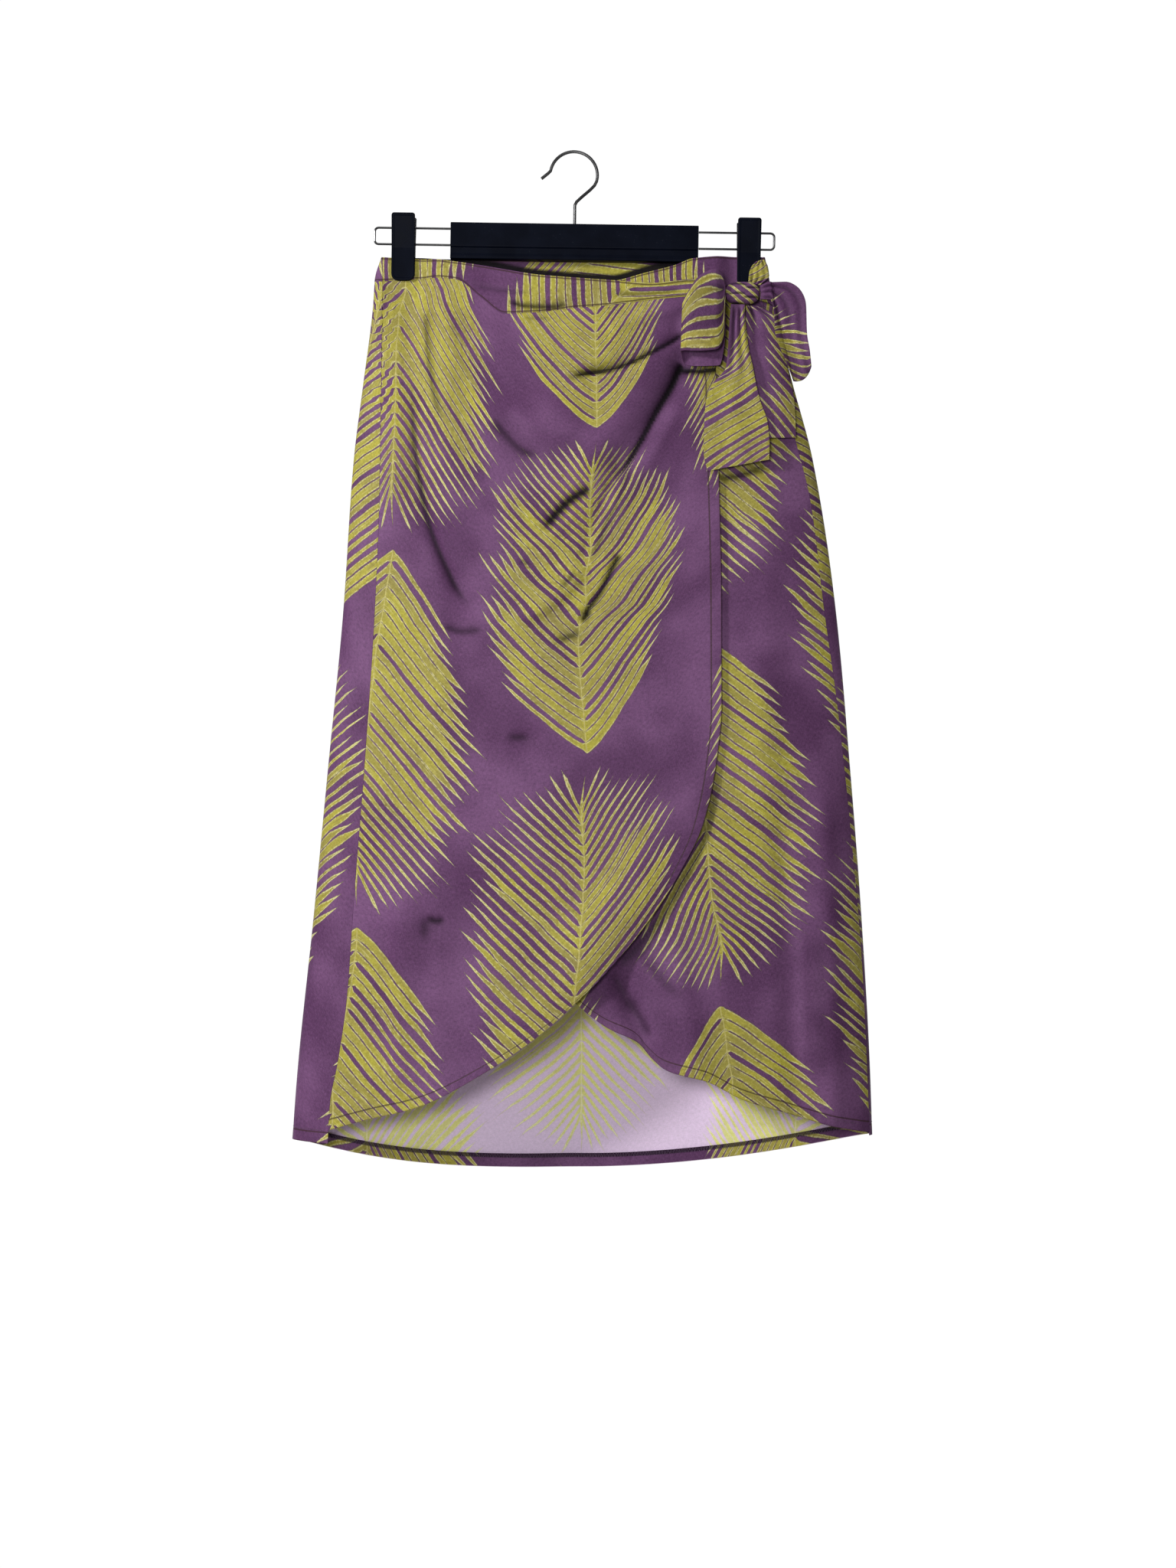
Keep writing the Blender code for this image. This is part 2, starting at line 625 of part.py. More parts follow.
def hanger():
    plastic = paint("hanger_plastic", (0.012, 0.014, 0.022), 0.45)
    steel = paint("hanger_wire", (0.55, 0.55, 0.56), 0.28, 1.0)
    half, groove, lip = BAR_DEPTH / 2, BAR_DEPTH / 2 - 1.6, BAR_DEPTH / 2 - 0.6
    face = [(half, 0), (half, -22.3), (groove, -23.6), (groove, -29.4), (lip, -30.6), (lip, -BAR_HEIGHT)]
    profile = [(y, z - BAR_TOP) for y, z in face + [(-y, z) for y, z in reversed(face)]]
    extruded("hanger_bar", profile, BAR_LEFT, BAR_RIGHT, plastic, 0.7)

    centre = (0.0, HOOK_WIRE / 2 - HOOK_RADIUS)
    stem_top = centre[1] - 28
    route = [(-30.4, 0.0, -24.4), (-27.0, 0.0, -21.6), (-23.9, 0.0, -19.0)]
    route += arc(centre, HOOK_RADIUS, 170, -14, 26)
    route += [(19.6, 0.0, -30.0), (15.4, 0.0, -34.4), (7.6, 0.0, -41.2), (3.0, 0.0, -45.6), (1.4, 0.0, stem_top)]
    route += [(1.4, 0.0, -BAR_TOP + SEAM)]
    wire("hanger_hook", route, HOOK_WIRE, steel, resolution=3)

    bend = 3.6
    for side, bar_end, sign in (("left", BAR_LEFT - SEAM, -1), ("right", BAR_RIGHT + SEAM, 1)):
        upper = -(BAR_TOP + LOOP_DROP)
        lower = upper - LOOP_HEIGHT
        tip = bar_end + sign * LOOP_REACH
        corner = tip - sign * bend
        if sign < 0:
            turns = arc((corner, upper - bend), bend, 90, 180, 5) + arc((corner, lower + bend), bend, 180, 270, 5)
        else:
            turns = arc((corner, upper - bend), bend, 90, 0, 5) + arc((corner, lower + bend), bend, 0, -90, 5)
        wire(f"hanger_wire_{side}", [(bar_end, 0.0, upper)] + turns + [(bar_end, 0.0, lower)], LOOP_WIRE, steel)

    for side, clip_x in (("left", CLIP_LEFT), ("right", CLIP_RIGHT)):
        clip(side, clip_x, plastic)


def clip(side, clip_x, plastic):
    """Two spring jaws on a small core that sits between the legs of the wire loop."""
    top = -(BAR_TOP + LOOP_DROP - CLIP_ABOVE)
    bottom = top - CLIP_LENGTH
    bend = top - CLIP_LENGTH / 2
    slope = math.tan(CLIP_SPREAD)
    x0, x1 = clip_x - CLIP_WIDTH / 2, clip_x + CLIP_WIDTH / 2

    def inner(z):
        return CLIP_GRIP + max(0.0, z - bend) * slope

    jaw = [(inner(bottom), bottom), (inner(bend), bend), (inner(top), top)]
    jaw += [(y + CLIP_THICK, z) for y, z in reversed(jaw)]
    extruded(f"clip_{side}_back", jaw, x0, x1, plastic, 1.5)
    extruded(f"clip_{side}_front", [(-y, z) for y, z in jaw], x0, x1, plastic, 1.5)
    upper = -(BAR_TOP + LOOP_DROP) - LOOP_WIRE / 2 - SEAM
    lower = upper - LOOP_HEIGHT + LOOP_WIRE + 2 * SEAM
    seat = 0.35
    core = [(inner(lower) - seat, lower), (inner(upper) - seat, upper)]
    core += [(-y, z) for y, z in reversed(core)]
    extruded(f"clip_{side}_core", core, clip_x - CORE_WIDTH / 2, clip_x + CORE_WIDTH / 2, plastic, 0.4, 1)


def skirt():
    print_cloth = paint("printed_cloth", (0.19, 0.10, 0.17), 0.75)
    tie_cloth = paint("tie_cloth", (0.24, 0.15, 0.15), 0.75)
    worn("front_overlap", *overlap_panel(), overlap_lift, print_cloth)
    worn("front_underlap", *underlap_panel(), underlap_lift, print_cloth)
    worn("waistband_overlap", *front_band(OVERLAP_BAND, overlap_columns()), overlap_lift, print_cloth)
    worn("waistband_underlap", *front_band(UNDERLAP_BAND, underlap_columns()), underlap_lift, print_cloth)
    worn("waistband_back", *back_band(), back_lift, print_cloth)
    turn, drop = back_panel()
    back_walls(turn, drop, print_cloth)

    # The turn-up lies inside the last row of the back panel, on its points
    lift = back_lift(tube(turn, drop)[..., 0], drop)
    sides = []
    for inward in (CLOTH / 2 + SEAM, CLOTH * 1.5 + SEAM):
        upper, hem = (tube(turn[row], drop[row], lift[row] - inward) for row in (-2, -1))
        lower = hem + (upper - hem) * TURN_UP_RISE / TURN_UP
        sides.append(np.array([upper, lower])[:, 1:-1])
    wall("hem_turn_up", sides, print_cloth)

    knot("tie_knot", tie_cloth)
    free("tie_loop_left", strip_grid(LEFT_LOOP, 26, 6), tie_cloth)
    free("tie_loop_right", strip_grid(RIGHT_LOOP, 28, 5), tie_cloth)
    free("tie_tail_long", strip_grid(LONG_TAIL, 14, 10, waves=2, height=1.0), tie_cloth)
    free("tie_tail_short", strip_grid(SHORT_TAIL, 10, 7, waves=1, height=0.7), tie_cloth)
    free("tie_strap_front", strip_grid(FRONT_STRAP, 4, 4), tie_cloth)
    free("tie_strap_side", strip_grid(SIDE_STRAP, 8, 5), tie_cloth)


for old in list(bpy.data.objects):
    bpy.data.objects.remove(old, do_unlink=True)
skirt()
hanger()
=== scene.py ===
import math

import bmesh
import bpy
import numpy as np
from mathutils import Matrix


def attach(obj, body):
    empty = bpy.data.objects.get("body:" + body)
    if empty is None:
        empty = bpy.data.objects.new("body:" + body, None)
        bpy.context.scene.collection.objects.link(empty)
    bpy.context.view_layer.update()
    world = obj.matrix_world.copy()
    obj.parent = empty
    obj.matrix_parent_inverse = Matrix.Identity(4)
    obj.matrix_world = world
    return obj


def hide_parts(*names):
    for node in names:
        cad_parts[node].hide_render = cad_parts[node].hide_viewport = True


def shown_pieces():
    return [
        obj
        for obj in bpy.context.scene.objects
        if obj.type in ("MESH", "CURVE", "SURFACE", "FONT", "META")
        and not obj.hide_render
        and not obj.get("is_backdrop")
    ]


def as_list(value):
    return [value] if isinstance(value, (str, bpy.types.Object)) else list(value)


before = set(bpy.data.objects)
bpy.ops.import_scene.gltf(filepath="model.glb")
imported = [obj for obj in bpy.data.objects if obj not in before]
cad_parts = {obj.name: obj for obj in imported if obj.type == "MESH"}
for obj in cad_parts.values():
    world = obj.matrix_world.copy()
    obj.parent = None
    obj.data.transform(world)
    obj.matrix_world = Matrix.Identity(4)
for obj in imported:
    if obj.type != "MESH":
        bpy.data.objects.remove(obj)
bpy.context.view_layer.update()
mm = 0.001

print("stage: shape of the worn skirt")

# Everything about the cloth is laid out in millimetres: x to the right, drop down from the hook


def table(columns, rows):
    names = columns.split()
    return {name: np.array([row[i] for row in rows], float) for i, name in enumerate(names)}


cloth = {
    "wall": 0.5,             # thickness of the woven cloth
    "hem": 10.0,             # width of the narrow turned hem on the wrap's free edges
    "seamGap": 0.1,          # between panels that are sewn together
    "overlapLift": 2.8,      # how far the overlap lies off the tube, and more at its free edge and lowest point
    "freeLift": 2.0,
    "apexLift": 6.5,
    "valleyFrom": 3.5,       # its valleys level out past this depth, and how much deeper they get
    "valleyMore": 2.5,
    "underlapSink": 9.0,     # how far the covered part of the underlap lies inside it
    "foldScale": 1.45,       # how much the soft folds stand out, and the fine creases
    "creaseScale": 2.1,
    "dragHides": 25.0,       # cloth that the deep valley under the bow takes up
    "turnUp": 13.0,          # height of the back hem's turn-up, and how far it stays above the hem
    "turnUpRise": 0.6,
}

# How much painted shade darkens the pinched bottom of a crease, and the cloth around it, with widths as shares
# of the crease's
creaseDark = {"core": 0.78, "coreWidth": 0.72, "around": 0.16, "aroundWidth": 1.728, "most": 0.97}

# Outline of the worn tube of cloth at several drops below the hook, and how far it bellies out
tubeSections = table("drop left right front back", [
    (98, -181, 179, 14, 9),
    (118, -187, 183, 18, 10),
    (145, -189, 187, 21, 12),
    (216, -198, 205, 27, 19),
    (288, -207, 224, 31, 25),
    (432, -217, 246, 37, 32),
    (576, -231, 259, 44, 38),
    (720, -245, 270, 50, 43),
    (864, -260, 278, 55, 46),
    (960, -267, 281, 57, 48),
])
leftSeam = table("drop x", [
    (98, -180), (121, -180), (330, -182), (433, -186), (575, -195), (705, -205), (792, -211),
    (849, -219), (892, -227), (930, -229),
])
rightSeam = table("drop x", [
    (98, 177), (128, 177), (196, 190), (270, 207), (327, 221), (431, 234), (525, 247), (648, 260),
    (765, 270), (851, 274), (930, 277),
])
overlapSide = table("x drop", [
    (130, 134), (134, 308), (136, 420), (136, 520), (131, 572), (119, 628), (96, 676), (58, 732), (18, 778),
])
overlapHem = table("x drop", [
    (18, 778), (-28, 821), (-84, 860), (-146, 892), (-192, 904), (-229, 915),
])
underlapSide = table("x drop", [
    (-118, 148), (-118, 308), (-120, 520), (-117, 572), (-108, 628), (-90, 676), (-54, 732),
])
underlapHem = table("x drop", [
    (-54, 732), (-8, 786), (30, 817), (60, 832), (72, 846), (86, 857), (122, 867), (155, 884), (202, 899),
    (240, 911), (276, 919),
])
overlapBand = table("x top seam", [
    (-181, 98, 121), (-147, 100, 119), (-110, 105, 122), (-86, 109, 140), (-64, 113, 155), (-35, 118, 154),
    (0, 121, 150), (36, 123.5, 147), (72, 126, 142), (110, 122, 138), (130, 123, 136),
])
underlapBand = table("x top seam", [
    (-118, 111, 136), (-60, 122, 150), (0, 127, 156), (40, 123, 152), (65, 116, 146), (94, 108, 138),
    (112, 101, 131), (150, 98, 128), (176, 98, 128),
])
backBand = table("x top seam", [
    (-181, 98, 121), (-100, 98.5, 129), (0, 99, 130), (100, 98.5, 129), (180, 98, 128),
])

# Soft folds: a straight run from one point to another, half width, height (troughs below 0)
overlapFolds = [
    ("drag under the bow", 104, 200, 44, 296, 11, -4.6),
    ("drag tail", 40, 304, 10, 362, 8, -1.3),
    ("ridge beside the drag", 80, 186, 12, 296, 14, 3.4),
    ("crease to the knot", 96, 168, 16, 212, 8, -2.2),
    ("upper pleat at the knot", 118, 140, 40, 166, 7, 2.2),
    ("clip fold, upper", -156, 138, -148, 316, 12, -3.2),
    ("clip fold, lower", -148, 316, -98, 426, 12, -2.4),
    ("ridge beside the clip fold", -122, 160, -112, 340, 15, 2.6),
    ("centre bulge", -66, 258, -10, 254, 26, 3.6),
    ("centre crease", 34, 318, 8, 386, 6, -1.8),
    ("centre ridge", 4, 392, -46, 436, 8, 1.8),
    ("lower dent", -66, 548, -38, 556, 14, -1.6),
    ("hem wave, left", -150, 690, -168, 860, 22, 3.4),
    ("hem trough", -96, 700, -104, 846, 20, -2.6),
    ("apex roll", 60, 690, -6, 776, 24, 4.5),
]
underlapFolds = [
    ("trough at the free hem", 40, 772, 72, 846, 10, -4.0),
    ("ridge beside it", 92, 740, 112, 856, 14, 3.0),
    ("side wave, inner", 196, 640, 206, 890, 12, -2.2),
    ("side wave, outer", 232, 620, 240, 900, 12, 2.2),
    ("long soft fold", 172, 330, 178, 600, 18, 2.4),
]
backFolds = [
    ("below the left clip", -150, 140, -140, 420, 18, 4.0),
    ("below the right clip", 158, 140, 150, 440, 18, 4.0),
    ("left fold", -96, 330, -128, 900, 24, -3.6),
    ("middle fold", 10, 420, -6, 930, 26, 3.4),
    ("right fold", 108, 350, 150, 900, 24, -3.4),
]

# Fine creases: a curved run, height, width on its left going down, width on its right, fade in, fade out
overlapCreases = [
    ("drag valley", [(100, 204), (90, 226), (79, 244), (63, 274), (51, 294), (37, 312), (25, 327)],
     -2.0, 4.4, 2.6, 3, 70),
    ("drag valley, top", [(101, 200), (94, 218), (84, 236), (72, 256), (64, 270)], -1.2, 7.0, 3.6, 3, 52),
    ("below the left loop", [(95, 206), (106, 208), (122, 208.5), (138, 206)], -1.25, 4.6, 4.2, 4, 5),
    ("drag ridge", [(99, 236), (86, 262), (72, 288), (58, 308), (42, 334), (29, 360)],
     1.1, 3.6, 8.0, 20, 30),
    ("dark line, upper", [(53, 295), (39, 335), (31, 349), (19, 377), (12, 387)], -0.6, 2.6, 4.5, 14, 14),
    ("dark line, lower", [(43, 377), (37, 389), (25, 413), (11, 434), (6, 444)], -1.1, 2.6, 5.0, 8, 12),
    ("upper trough", [(17, 317), (-4, 330), (-18, 344), (-31, 360)], -1.25, 5.0, 6.0, 8, 16),
    ("ridge past the trough", [(8, 336), (-12, 354), (-28, 372)], 0.8, 5.0, 7.0, 12, 16),
    ("bright ridge", [(9, 397), (-14, 420), (-37, 437), (-52, 444)], 1.5, 7.0, 6.0, 12, 16),
    ("short crease", [(3, 395), (-14, 414)], -0.7, 2.4, 3.4, 7, 9),
    ("notch", [(16, 432), (6, 444)], -1.1, 2.6, 3.0, 5, 5),
    ("lower trough", [(10, 452), (-21, 463)], -0.8, 5.0, 4.0, 10, 14),
    ("upper pleat", [(-7, 218), (10, 212), (32, 208.5), (51, 202.5), (73, 192), (92, 181), (106, 170)],
     -1.2, 2.6, 5.0, 16, 14),
    ("pleat ridge", [(-2, 208), (30, 200), (64, 184), (96, 164)], 0.8, 5.0, 4.5, 24, 14),
    ("long fold", [(-151, 200), (-151, 243), (-149, 281), (-141, 328), (-134, 355), (-124, 381), (-119, 391),
                   (-108, 414), (-95, 430)], -0.85, 5.5, 3.4, 70, 30),
    ("long fold, line", [(-149, 281), (-141, 328), (-134, 355), (-124, 381), (-108, 414), (-95, 430)],
     -0.30, 2.0, 2.0, 40, 24),
    ("long fold ridge", [(-144, 216), (-142, 282), (-133, 330), (-124, 360), (-111, 388), (-98, 410)],
     0.9, 4.0, 6.0, 40, 30),
    ("waist line", [(-49, 160), (-19, 160)], -0.4, 2.4, 3.5, 10, 10),
    ("dent, middle", [(-66, 550), (-37, 550)], -0.7, 5.0, 5.0, 12, 12),
    ("dent, low", [(-138, 712), (-138, 742)], -0.6, 5.0, 7.0, 12, 14),
    ("dent, low left", [(-168, 700), (-168, 730)], 0.5, 5.0, 7.0, 12, 14),
    ("below the clip, inner", [(-140, 146), (-137, 190), (-130, 232), (-120, 262)], -0.6, 3.0, 6.0, 14, 26),
    ("below the clip, next", [(-118, 150), (-112, 182), (-101, 214)], 0.6, 5.0, 5.0, 16, 20),
    ("left of the bulge", [(-76, 252), (-64, 268), (-47, 284), (-28, 290)], -0.7, 6.0, 4.0, 12, 16),
    ("bulge light", [(-60, 244), (-38, 262), (-14, 268), (8, 262)], 0.8, 7.0, 6.0, 14, 18),
    ("middle wrinkle", [(-122, 446), (-103, 452), (-82, 449)], -0.7, 4.0, 4.0, 8, 10),
    ("small crease, left", [(-52, 386), (-38, 390)], -0.6, 3.0, 3.0, 5, 6),
    ("low dent", [(-137, 716), (-126, 720), (-118, 716)], -0.9, 4.0, 5.0, 6, 6),
    ("seam dent", [(-226, 782), (-214, 776), (-205, 778)], -0.9, 3.0, 4.0, 5, 6),
]
bandCreases = [
    ("long wrinkle", [(-104, 121), (-75, 128), (-45, 132), (-20, 131)], 0.5, 2.5, 3.5, 14, 14),
    ("below the wrinkle", [(-96, 128), (-66, 134), (-36, 137)], -0.35, 2.5, 3.5, 14, 14),
    ("smudge", [(-63, 143), (-44, 148), (-22, 149), (-3, 145)], -0.9, 3.5, 4.5, 8, 10),
    ("towards the knot", [(30, 137), (70, 136), (104, 131)], -0.5, 2.5, 3.5, 16, 12),
]
underlapCreases = [
    ("wave, upper", [(33, 762), (46, 785), (65, 806)], -0.45, 7.0, 6.0, 14, 16),
    ("wave, next", [(54, 749), (66, 764), (88, 789)], 0.9, 6.0, 6.0, 12, 14),
    ("wave, right", [(66, 752), (82, 774), (100, 792)], -0.40, 6.0, 8.0, 14, 18),
    ("trough at the hem", [(40, 787), (63, 810), (71, 828)], -0.55, 6.0, 5.0, 16, 8),
    ("below the long tail", [(134, 308), (150, 307), (166, 301), (181, 295)], -0.8, 5.0, 4.0, 3, 6),
    ("beside the wrap's edge", [(136, 560), (124, 632), (101, 682), (66, 734), (34, 768)],
     -0.7, 5.0, 5.0, 60, 24),
    ("side wave", [(211, 720), (212, 781), (214, 860)], 0.7, 4.0, 6.0, 30, 20),
    ("side trough", [(226, 700), (228, 790), (231, 880)], -0.22, 8.0, 9.0, 60, 40),
]

hangerShape = {
    "tilt": math.radians(0.85),
    "barTop": 67.2,
    "loopDrop": 5.4,
    "clipAbove": 12.3,
    "clipLength": 62.6,
    "clipWidth": 22.0,
    "clipAt": (-159.0, 165.5),
    "pinchFlat": 12.5,
    "pinchFade": 21.5,
    "pinchDrop": 85.0,
    "pinchDepth": 1.6,
}


def smooth(at, knots, values, straight=False):
    # monotone cubic through the values, level beyond both ends or carried straight on
    at = np.asarray(at, float)
    step = np.diff(knots)
    slope = np.diff(values) / step
    tangent = np.zeros_like(values)
    sameWay = slope[:-1] * slope[1:] > 0
    w1 = 2 * step[1:] + step[:-1]
    w2 = step[1:] + 2 * step[:-1]
    safe = np.where(sameWay, slope[:-1] * slope[1:], 1.0)
    blend = (w1 + w2) * safe / (w1 * slope[1:] + w2 * slope[:-1] + (~sameWay) * 1e9)
    tangent[1:-1] = np.where(sameWay, blend, 0.0)
    tangent[0] = slope[0]
    tangent[-1] = slope[-1]
    inside = np.clip(at, knots[0], knots[-1])
    i = np.clip(np.searchsorted(knots, inside, side="right") - 1, 0, len(step) - 1)
    h = step[i]
    t = (inside - knots[i]) / h
    rise = values[i] * (1 + 2 * t) * (1 - t) ** 2 + values[i + 1] * t * t * (3 - 2 * t)
    rise = rise + h * tangent[i] * t * (1 - t) ** 2 - h * tangent[i + 1] * t * t * (1 - t)
    if straight:
        rise = rise + np.minimum(at - knots[0], 0) * slope[0] + np.maximum(at - knots[-1], 0) * slope[-1]
    return rise


def ease(at, start, end):
    t = np.clip((np.asarray(at, float) - start) / (end - start), 0.0, 1.0)
    return t * t * (3 - 2 * t)


def along(path, count):
    # points at even spacing along a smooth line through a table of x and drop
    reach = np.concatenate([[0], np.cumsum(np.hypot(np.diff(path["x"]), np.diff(path["drop"])))])
    fine = np.linspace(0, reach[-1], 800)
    x = smooth(fine, reach, path["x"])
    drop = smooth(fine, reach, path["drop"])
    length = np.concatenate([[0], np.cumsum(np.hypot(np.diff(x), np.diff(drop)))])
    even = np.linspace(0, length[-1], count)
    return np.interp(even, length, x), np.interp(even, length, drop)


def section(name, drop):
    return smooth(drop, tubeSections["drop"], tubeSections[name])


def middleAndHalf(drop):
    left = section("left", drop)
    right = section("right", drop)
    return (left + right) / 2, (right - left) / 2


def turnAt(x, drop):
    # quarter turns round the tube, 0 at the middle of the front and 1 at the right side
    middle, half = middleAndHalf(drop)
    return np.arcsin(np.clip((x - middle) / half, -0.9999, 0.9999)) / (math.pi / 2)


def clipTop(clipX):
    shape = hangerShape
    return shape["barTop"] + shape["loopDrop"] - shape["clipAbove"] + clipX * math.tan(shape["tilt"])


def pinched(x, drop):
    # 1 where a clip presses the cloth flat, 0 away from it
    total = np.zeros(np.broadcast(x, drop).shape)
    flat = hangerShape["pinchFlat"]
    for clipX in hangerShape["clipAt"]:
        bottom = clipTop(clipX) + hangerShape["clipLength"]
        beside = 1 - ease(np.abs(x - clipX), flat, flat + hangerShape["pinchFade"])
        below = 1 - ease(drop, bottom + 3, bottom + hangerShape["pinchDrop"])
        total = np.maximum(total, beside * below)
    return total


def tube(turn, drop, lift=0.0):
    # point on the worn tube of cloth, moved out by lift
    middle, half = middleAndHalf(drop)
    angle = turn * math.pi / 2
    depth = np.where(np.cos(angle) >= 0, section("front", drop), section("back", drop))
    x = middle + half * np.sin(angle)
    y = -depth * np.cos(angle)
    press = pinched(x, drop)
    y = y * (1 - press) + np.sign(y) * np.minimum(np.abs(y), hangerShape["pinchDepth"]) * press
    outX = depth * np.sin(angle)
    outY = -half * np.cos(angle)
    size = np.hypot(outX, outY)
    return np.stack([x + lift * outX / size, y + lift * outY / size, -drop + 0 * x], axis=-1)


def foldHeight(x, drop, folds):
    height = np.zeros(np.broadcast(x, drop).shape)
    for name, x0, d0, x1, d1, width, rise in folds:
        run = np.array([x1 - x0, d1 - d0])
        share = np.clip(((x - x0) * run[0] + (drop - d0) * run[1]) / run.dot(run), 0, 1)
        away = np.hypot(x - x0 - share * run[0], drop - d0 - share * run[1])
        height += cloth["foldScale"] * rise * np.exp(-(away / width) ** 2)
    return height


def offLine(x, drop, px, pd):
    # signed distance from a line, above 0 on its left going down, and how far along it the nearest point is
    flatX = np.ravel(x)
    flatDrop = np.ravel(drop)
    best = np.full(flatX.shape, 1e9)
    sign = np.ones(flatX.shape)
    where = np.zeros(flatX.shape)
    start = 0.0
    for i in range(len(px) - 1):
        dx = px[i + 1] - px[i]
        dd = pd[i + 1] - pd[i]
        size = math.hypot(dx, dd)
        t = np.clip(((flatX - px[i]) * dx + (flatDrop - pd[i]) * dd) / size ** 2, 0, 1)
        awayX = flatX - px[i] - t * dx
        awayDrop = flatDrop - pd[i] - t * dd
        distance = np.hypot(awayX, awayDrop)
        nearer = distance < best
        best = np.where(nearer, distance, best)
        sign = np.where(nearer, np.where(dx * awayDrop - dd * awayX >= 0, 1.0, -1.0), sign)
        where = np.where(nearer, start + t * size, where)
        start += size
    shape = np.shape(x)
    return (best * sign).reshape(shape), where.reshape(shape), start


def creasesNear(x, drop, creases, reach):
    # for each crease within reach: the points near it, their distance in widths, its height and its fade
    for name, run, rise, leftWidth, rightWidth, fadeIn, fadeOut in creases:
        points = table("x drop", run)
        pad = reach * max(leftWidth, rightWidth)
        near = (x > points["x"].min() - pad) & (x < points["x"].max() + pad)
        near &= (drop > points["drop"].min() - pad) & (drop < points["drop"].max() + pad)
        if near.any():
            px, pd = along(points, 28) if len(run) > 2 else (points["x"], points["drop"])
            away, where, length = offLine(x[near], drop[near], px, pd)
            fade = ease(where, 0, fadeIn) * (1 - ease(where, length - fadeOut, length))
            yield near, away / np.where(away > 0, leftWidth, rightWidth), rise, fade


def creaseHeight(x, drop, creases):
    x, drop = np.broadcast_arrays(np.asarray(x, float), np.asarray(drop, float))
    height = np.zeros(x.shape)
    for near, away, rise, fade in creasesNear(x, drop, creases, 3):
        height[near] += cloth["creaseScale"] * rise * fade * np.exp(-away ** 2)
    return height


def creaseShade(x, drop, creases):
    # 1 on open cloth, less in the pinched bottom of a crease where light hardly reaches
    x, drop = np.broadcast_arrays(np.asarray(x, float), np.asarray(drop, float))
    shade = np.ones(x.shape)
    dark = creaseDark
    for near, away, rise, fade in creasesNear(x, drop, [crease for crease in creases if crease[2] < 0], 4):
        core = dark["core"] * -rise * fade * np.exp(-(away / dark["coreWidth"]) ** 2)
        around = dark["around"] * -rise * fade * np.exp(-(away / dark["aroundWidth"]) ** 2)
        shade[near] *= 1 - np.minimum(dark["most"], core + around)
    return shade


gatherShape = {
    "period": 8.2,            # of the small pleats down the left side seam, and how it drifts
    "drift": 0.9,
    "driftRun": 13.0,
    "seamReach": 13.0,
    "seamHeight": 0.9,
    "fanX": 142.0,            # where the gathers at the bow run together, and their ring round it
    "fanDrop": 140.0,
    "fanRing": 30.0,
    "fanReach": 26.0,
    "fanHeight": 0.55,
    "fanPleats": 13.0,
}


def gatherWave(drop, ahead=0.0):
    shape = gatherShape
    drift = shape["drift"] * np.sin(drop / shape["driftRun"])
    return np.sin(drop * 2 * math.pi / shape["period"] + drift + ahead)


def gathers(x, drop):
    # small ripples where the overlap is sewn into the left side seam, and at the bow
    shape = gatherShape
    seam = smooth(drop, leftSeam["drop"], leftSeam["x"])
    besideSeam = np.exp(-((x - seam) / shape["seamReach"]) ** 2)
    besideSeam = besideSeam * ease(drop, 122, 150) * (1 - ease(drop, 230, 300))
    knotDistance = np.hypot(x - shape["fanX"], drop - shape["fanDrop"])
    fan = np.arctan2(drop - shape["fanDrop"], shape["fanX"] - x)
    atKnot = np.exp(-((knotDistance - shape["fanRing"]) / shape["fanReach"]) ** 2) * (x < 128)
    ripple = gatherWave(drop) * besideSeam * shape["seamHeight"]
    return ripple + shape["fanHeight"] * atKnot * np.sin(fan * shape["fanPleats"])


def overlapCalm(x, drop):
    # 0 where the overlap lies smooth, at the waist and beside the left seam, and 1 away from there
    return ease(drop, 124, 160) * ease(x, -178, -160)


def overlapLift(x, drop):
    base = cloth["overlapLift"] * ease(x, -146, -122)
    free = cloth["freeLift"] * ease(x, 40, 130) * ease(drop, 150, 240)
    apex = cloth["apexLift"] * np.exp(-((x - 30) / 90) ** 2 - ((drop - 780) / 110) ** 2)
    return base + free + apex + overlapCalm(x, drop) * foldHeight(x, drop, overlapFolds)


def overlapFine(x, drop):
    creased = overlapCalm(x, drop) * creaseHeight(x, drop, overlapCreases)
    height = overlapLift(x, drop) + creased + gathers(x, drop)
    deep = np.minimum(height + cloth["valleyFrom"], 0)
    return height - deep + cloth["valleyMore"] * np.tanh(deep / cloth["valleyMore"])


def underlapLift(x, drop):
    # the covered part lies back from the overlap and the part in view lies on the tube
    freeEdge = smooth(drop, overlapSide["drop"], overlapSide["x"])
    covered = (1 - ease(x, freeEdge - 40, freeEdge + 4)) * (1 - ease(drop, 660, 778)) * ease(drop, 120, 170)
    hem = -1.2 * np.exp(-((x - 10) / 60) ** 2 - ((drop - 800) / 60) ** 2)
    return hem - cloth["underlapSink"] * covered + foldHeight(x, drop, underlapFolds)


def underlapFine(x, drop):
    return underlapLift(x, drop) + creaseHeight(x, drop, underlapCreases)


def backLift(x, drop):
    return ease(drop, 130, 170) * foldHeight(x, drop, backFolds)


def backHem(x, turn=-2.0):
    # drop of the back panel's hem, lowest at the middle of the back and level round to the front
    share = np.clip((x - 7) / 273, -1, 1)
    dip = np.where(np.cos(turn * math.pi / 2) < 0, 36, 4)
    return 926 - 2 * (share + 1) + dip * (1 - np.abs(share) ** np.where(share < 0, 3.0, 2.0))


def outside(x, drop):
    # depth of the overlap's middle surface, carried on past its free edge
    return -tube(turnAt(x, drop), drop, overlapLift(x, drop))[..., 1]


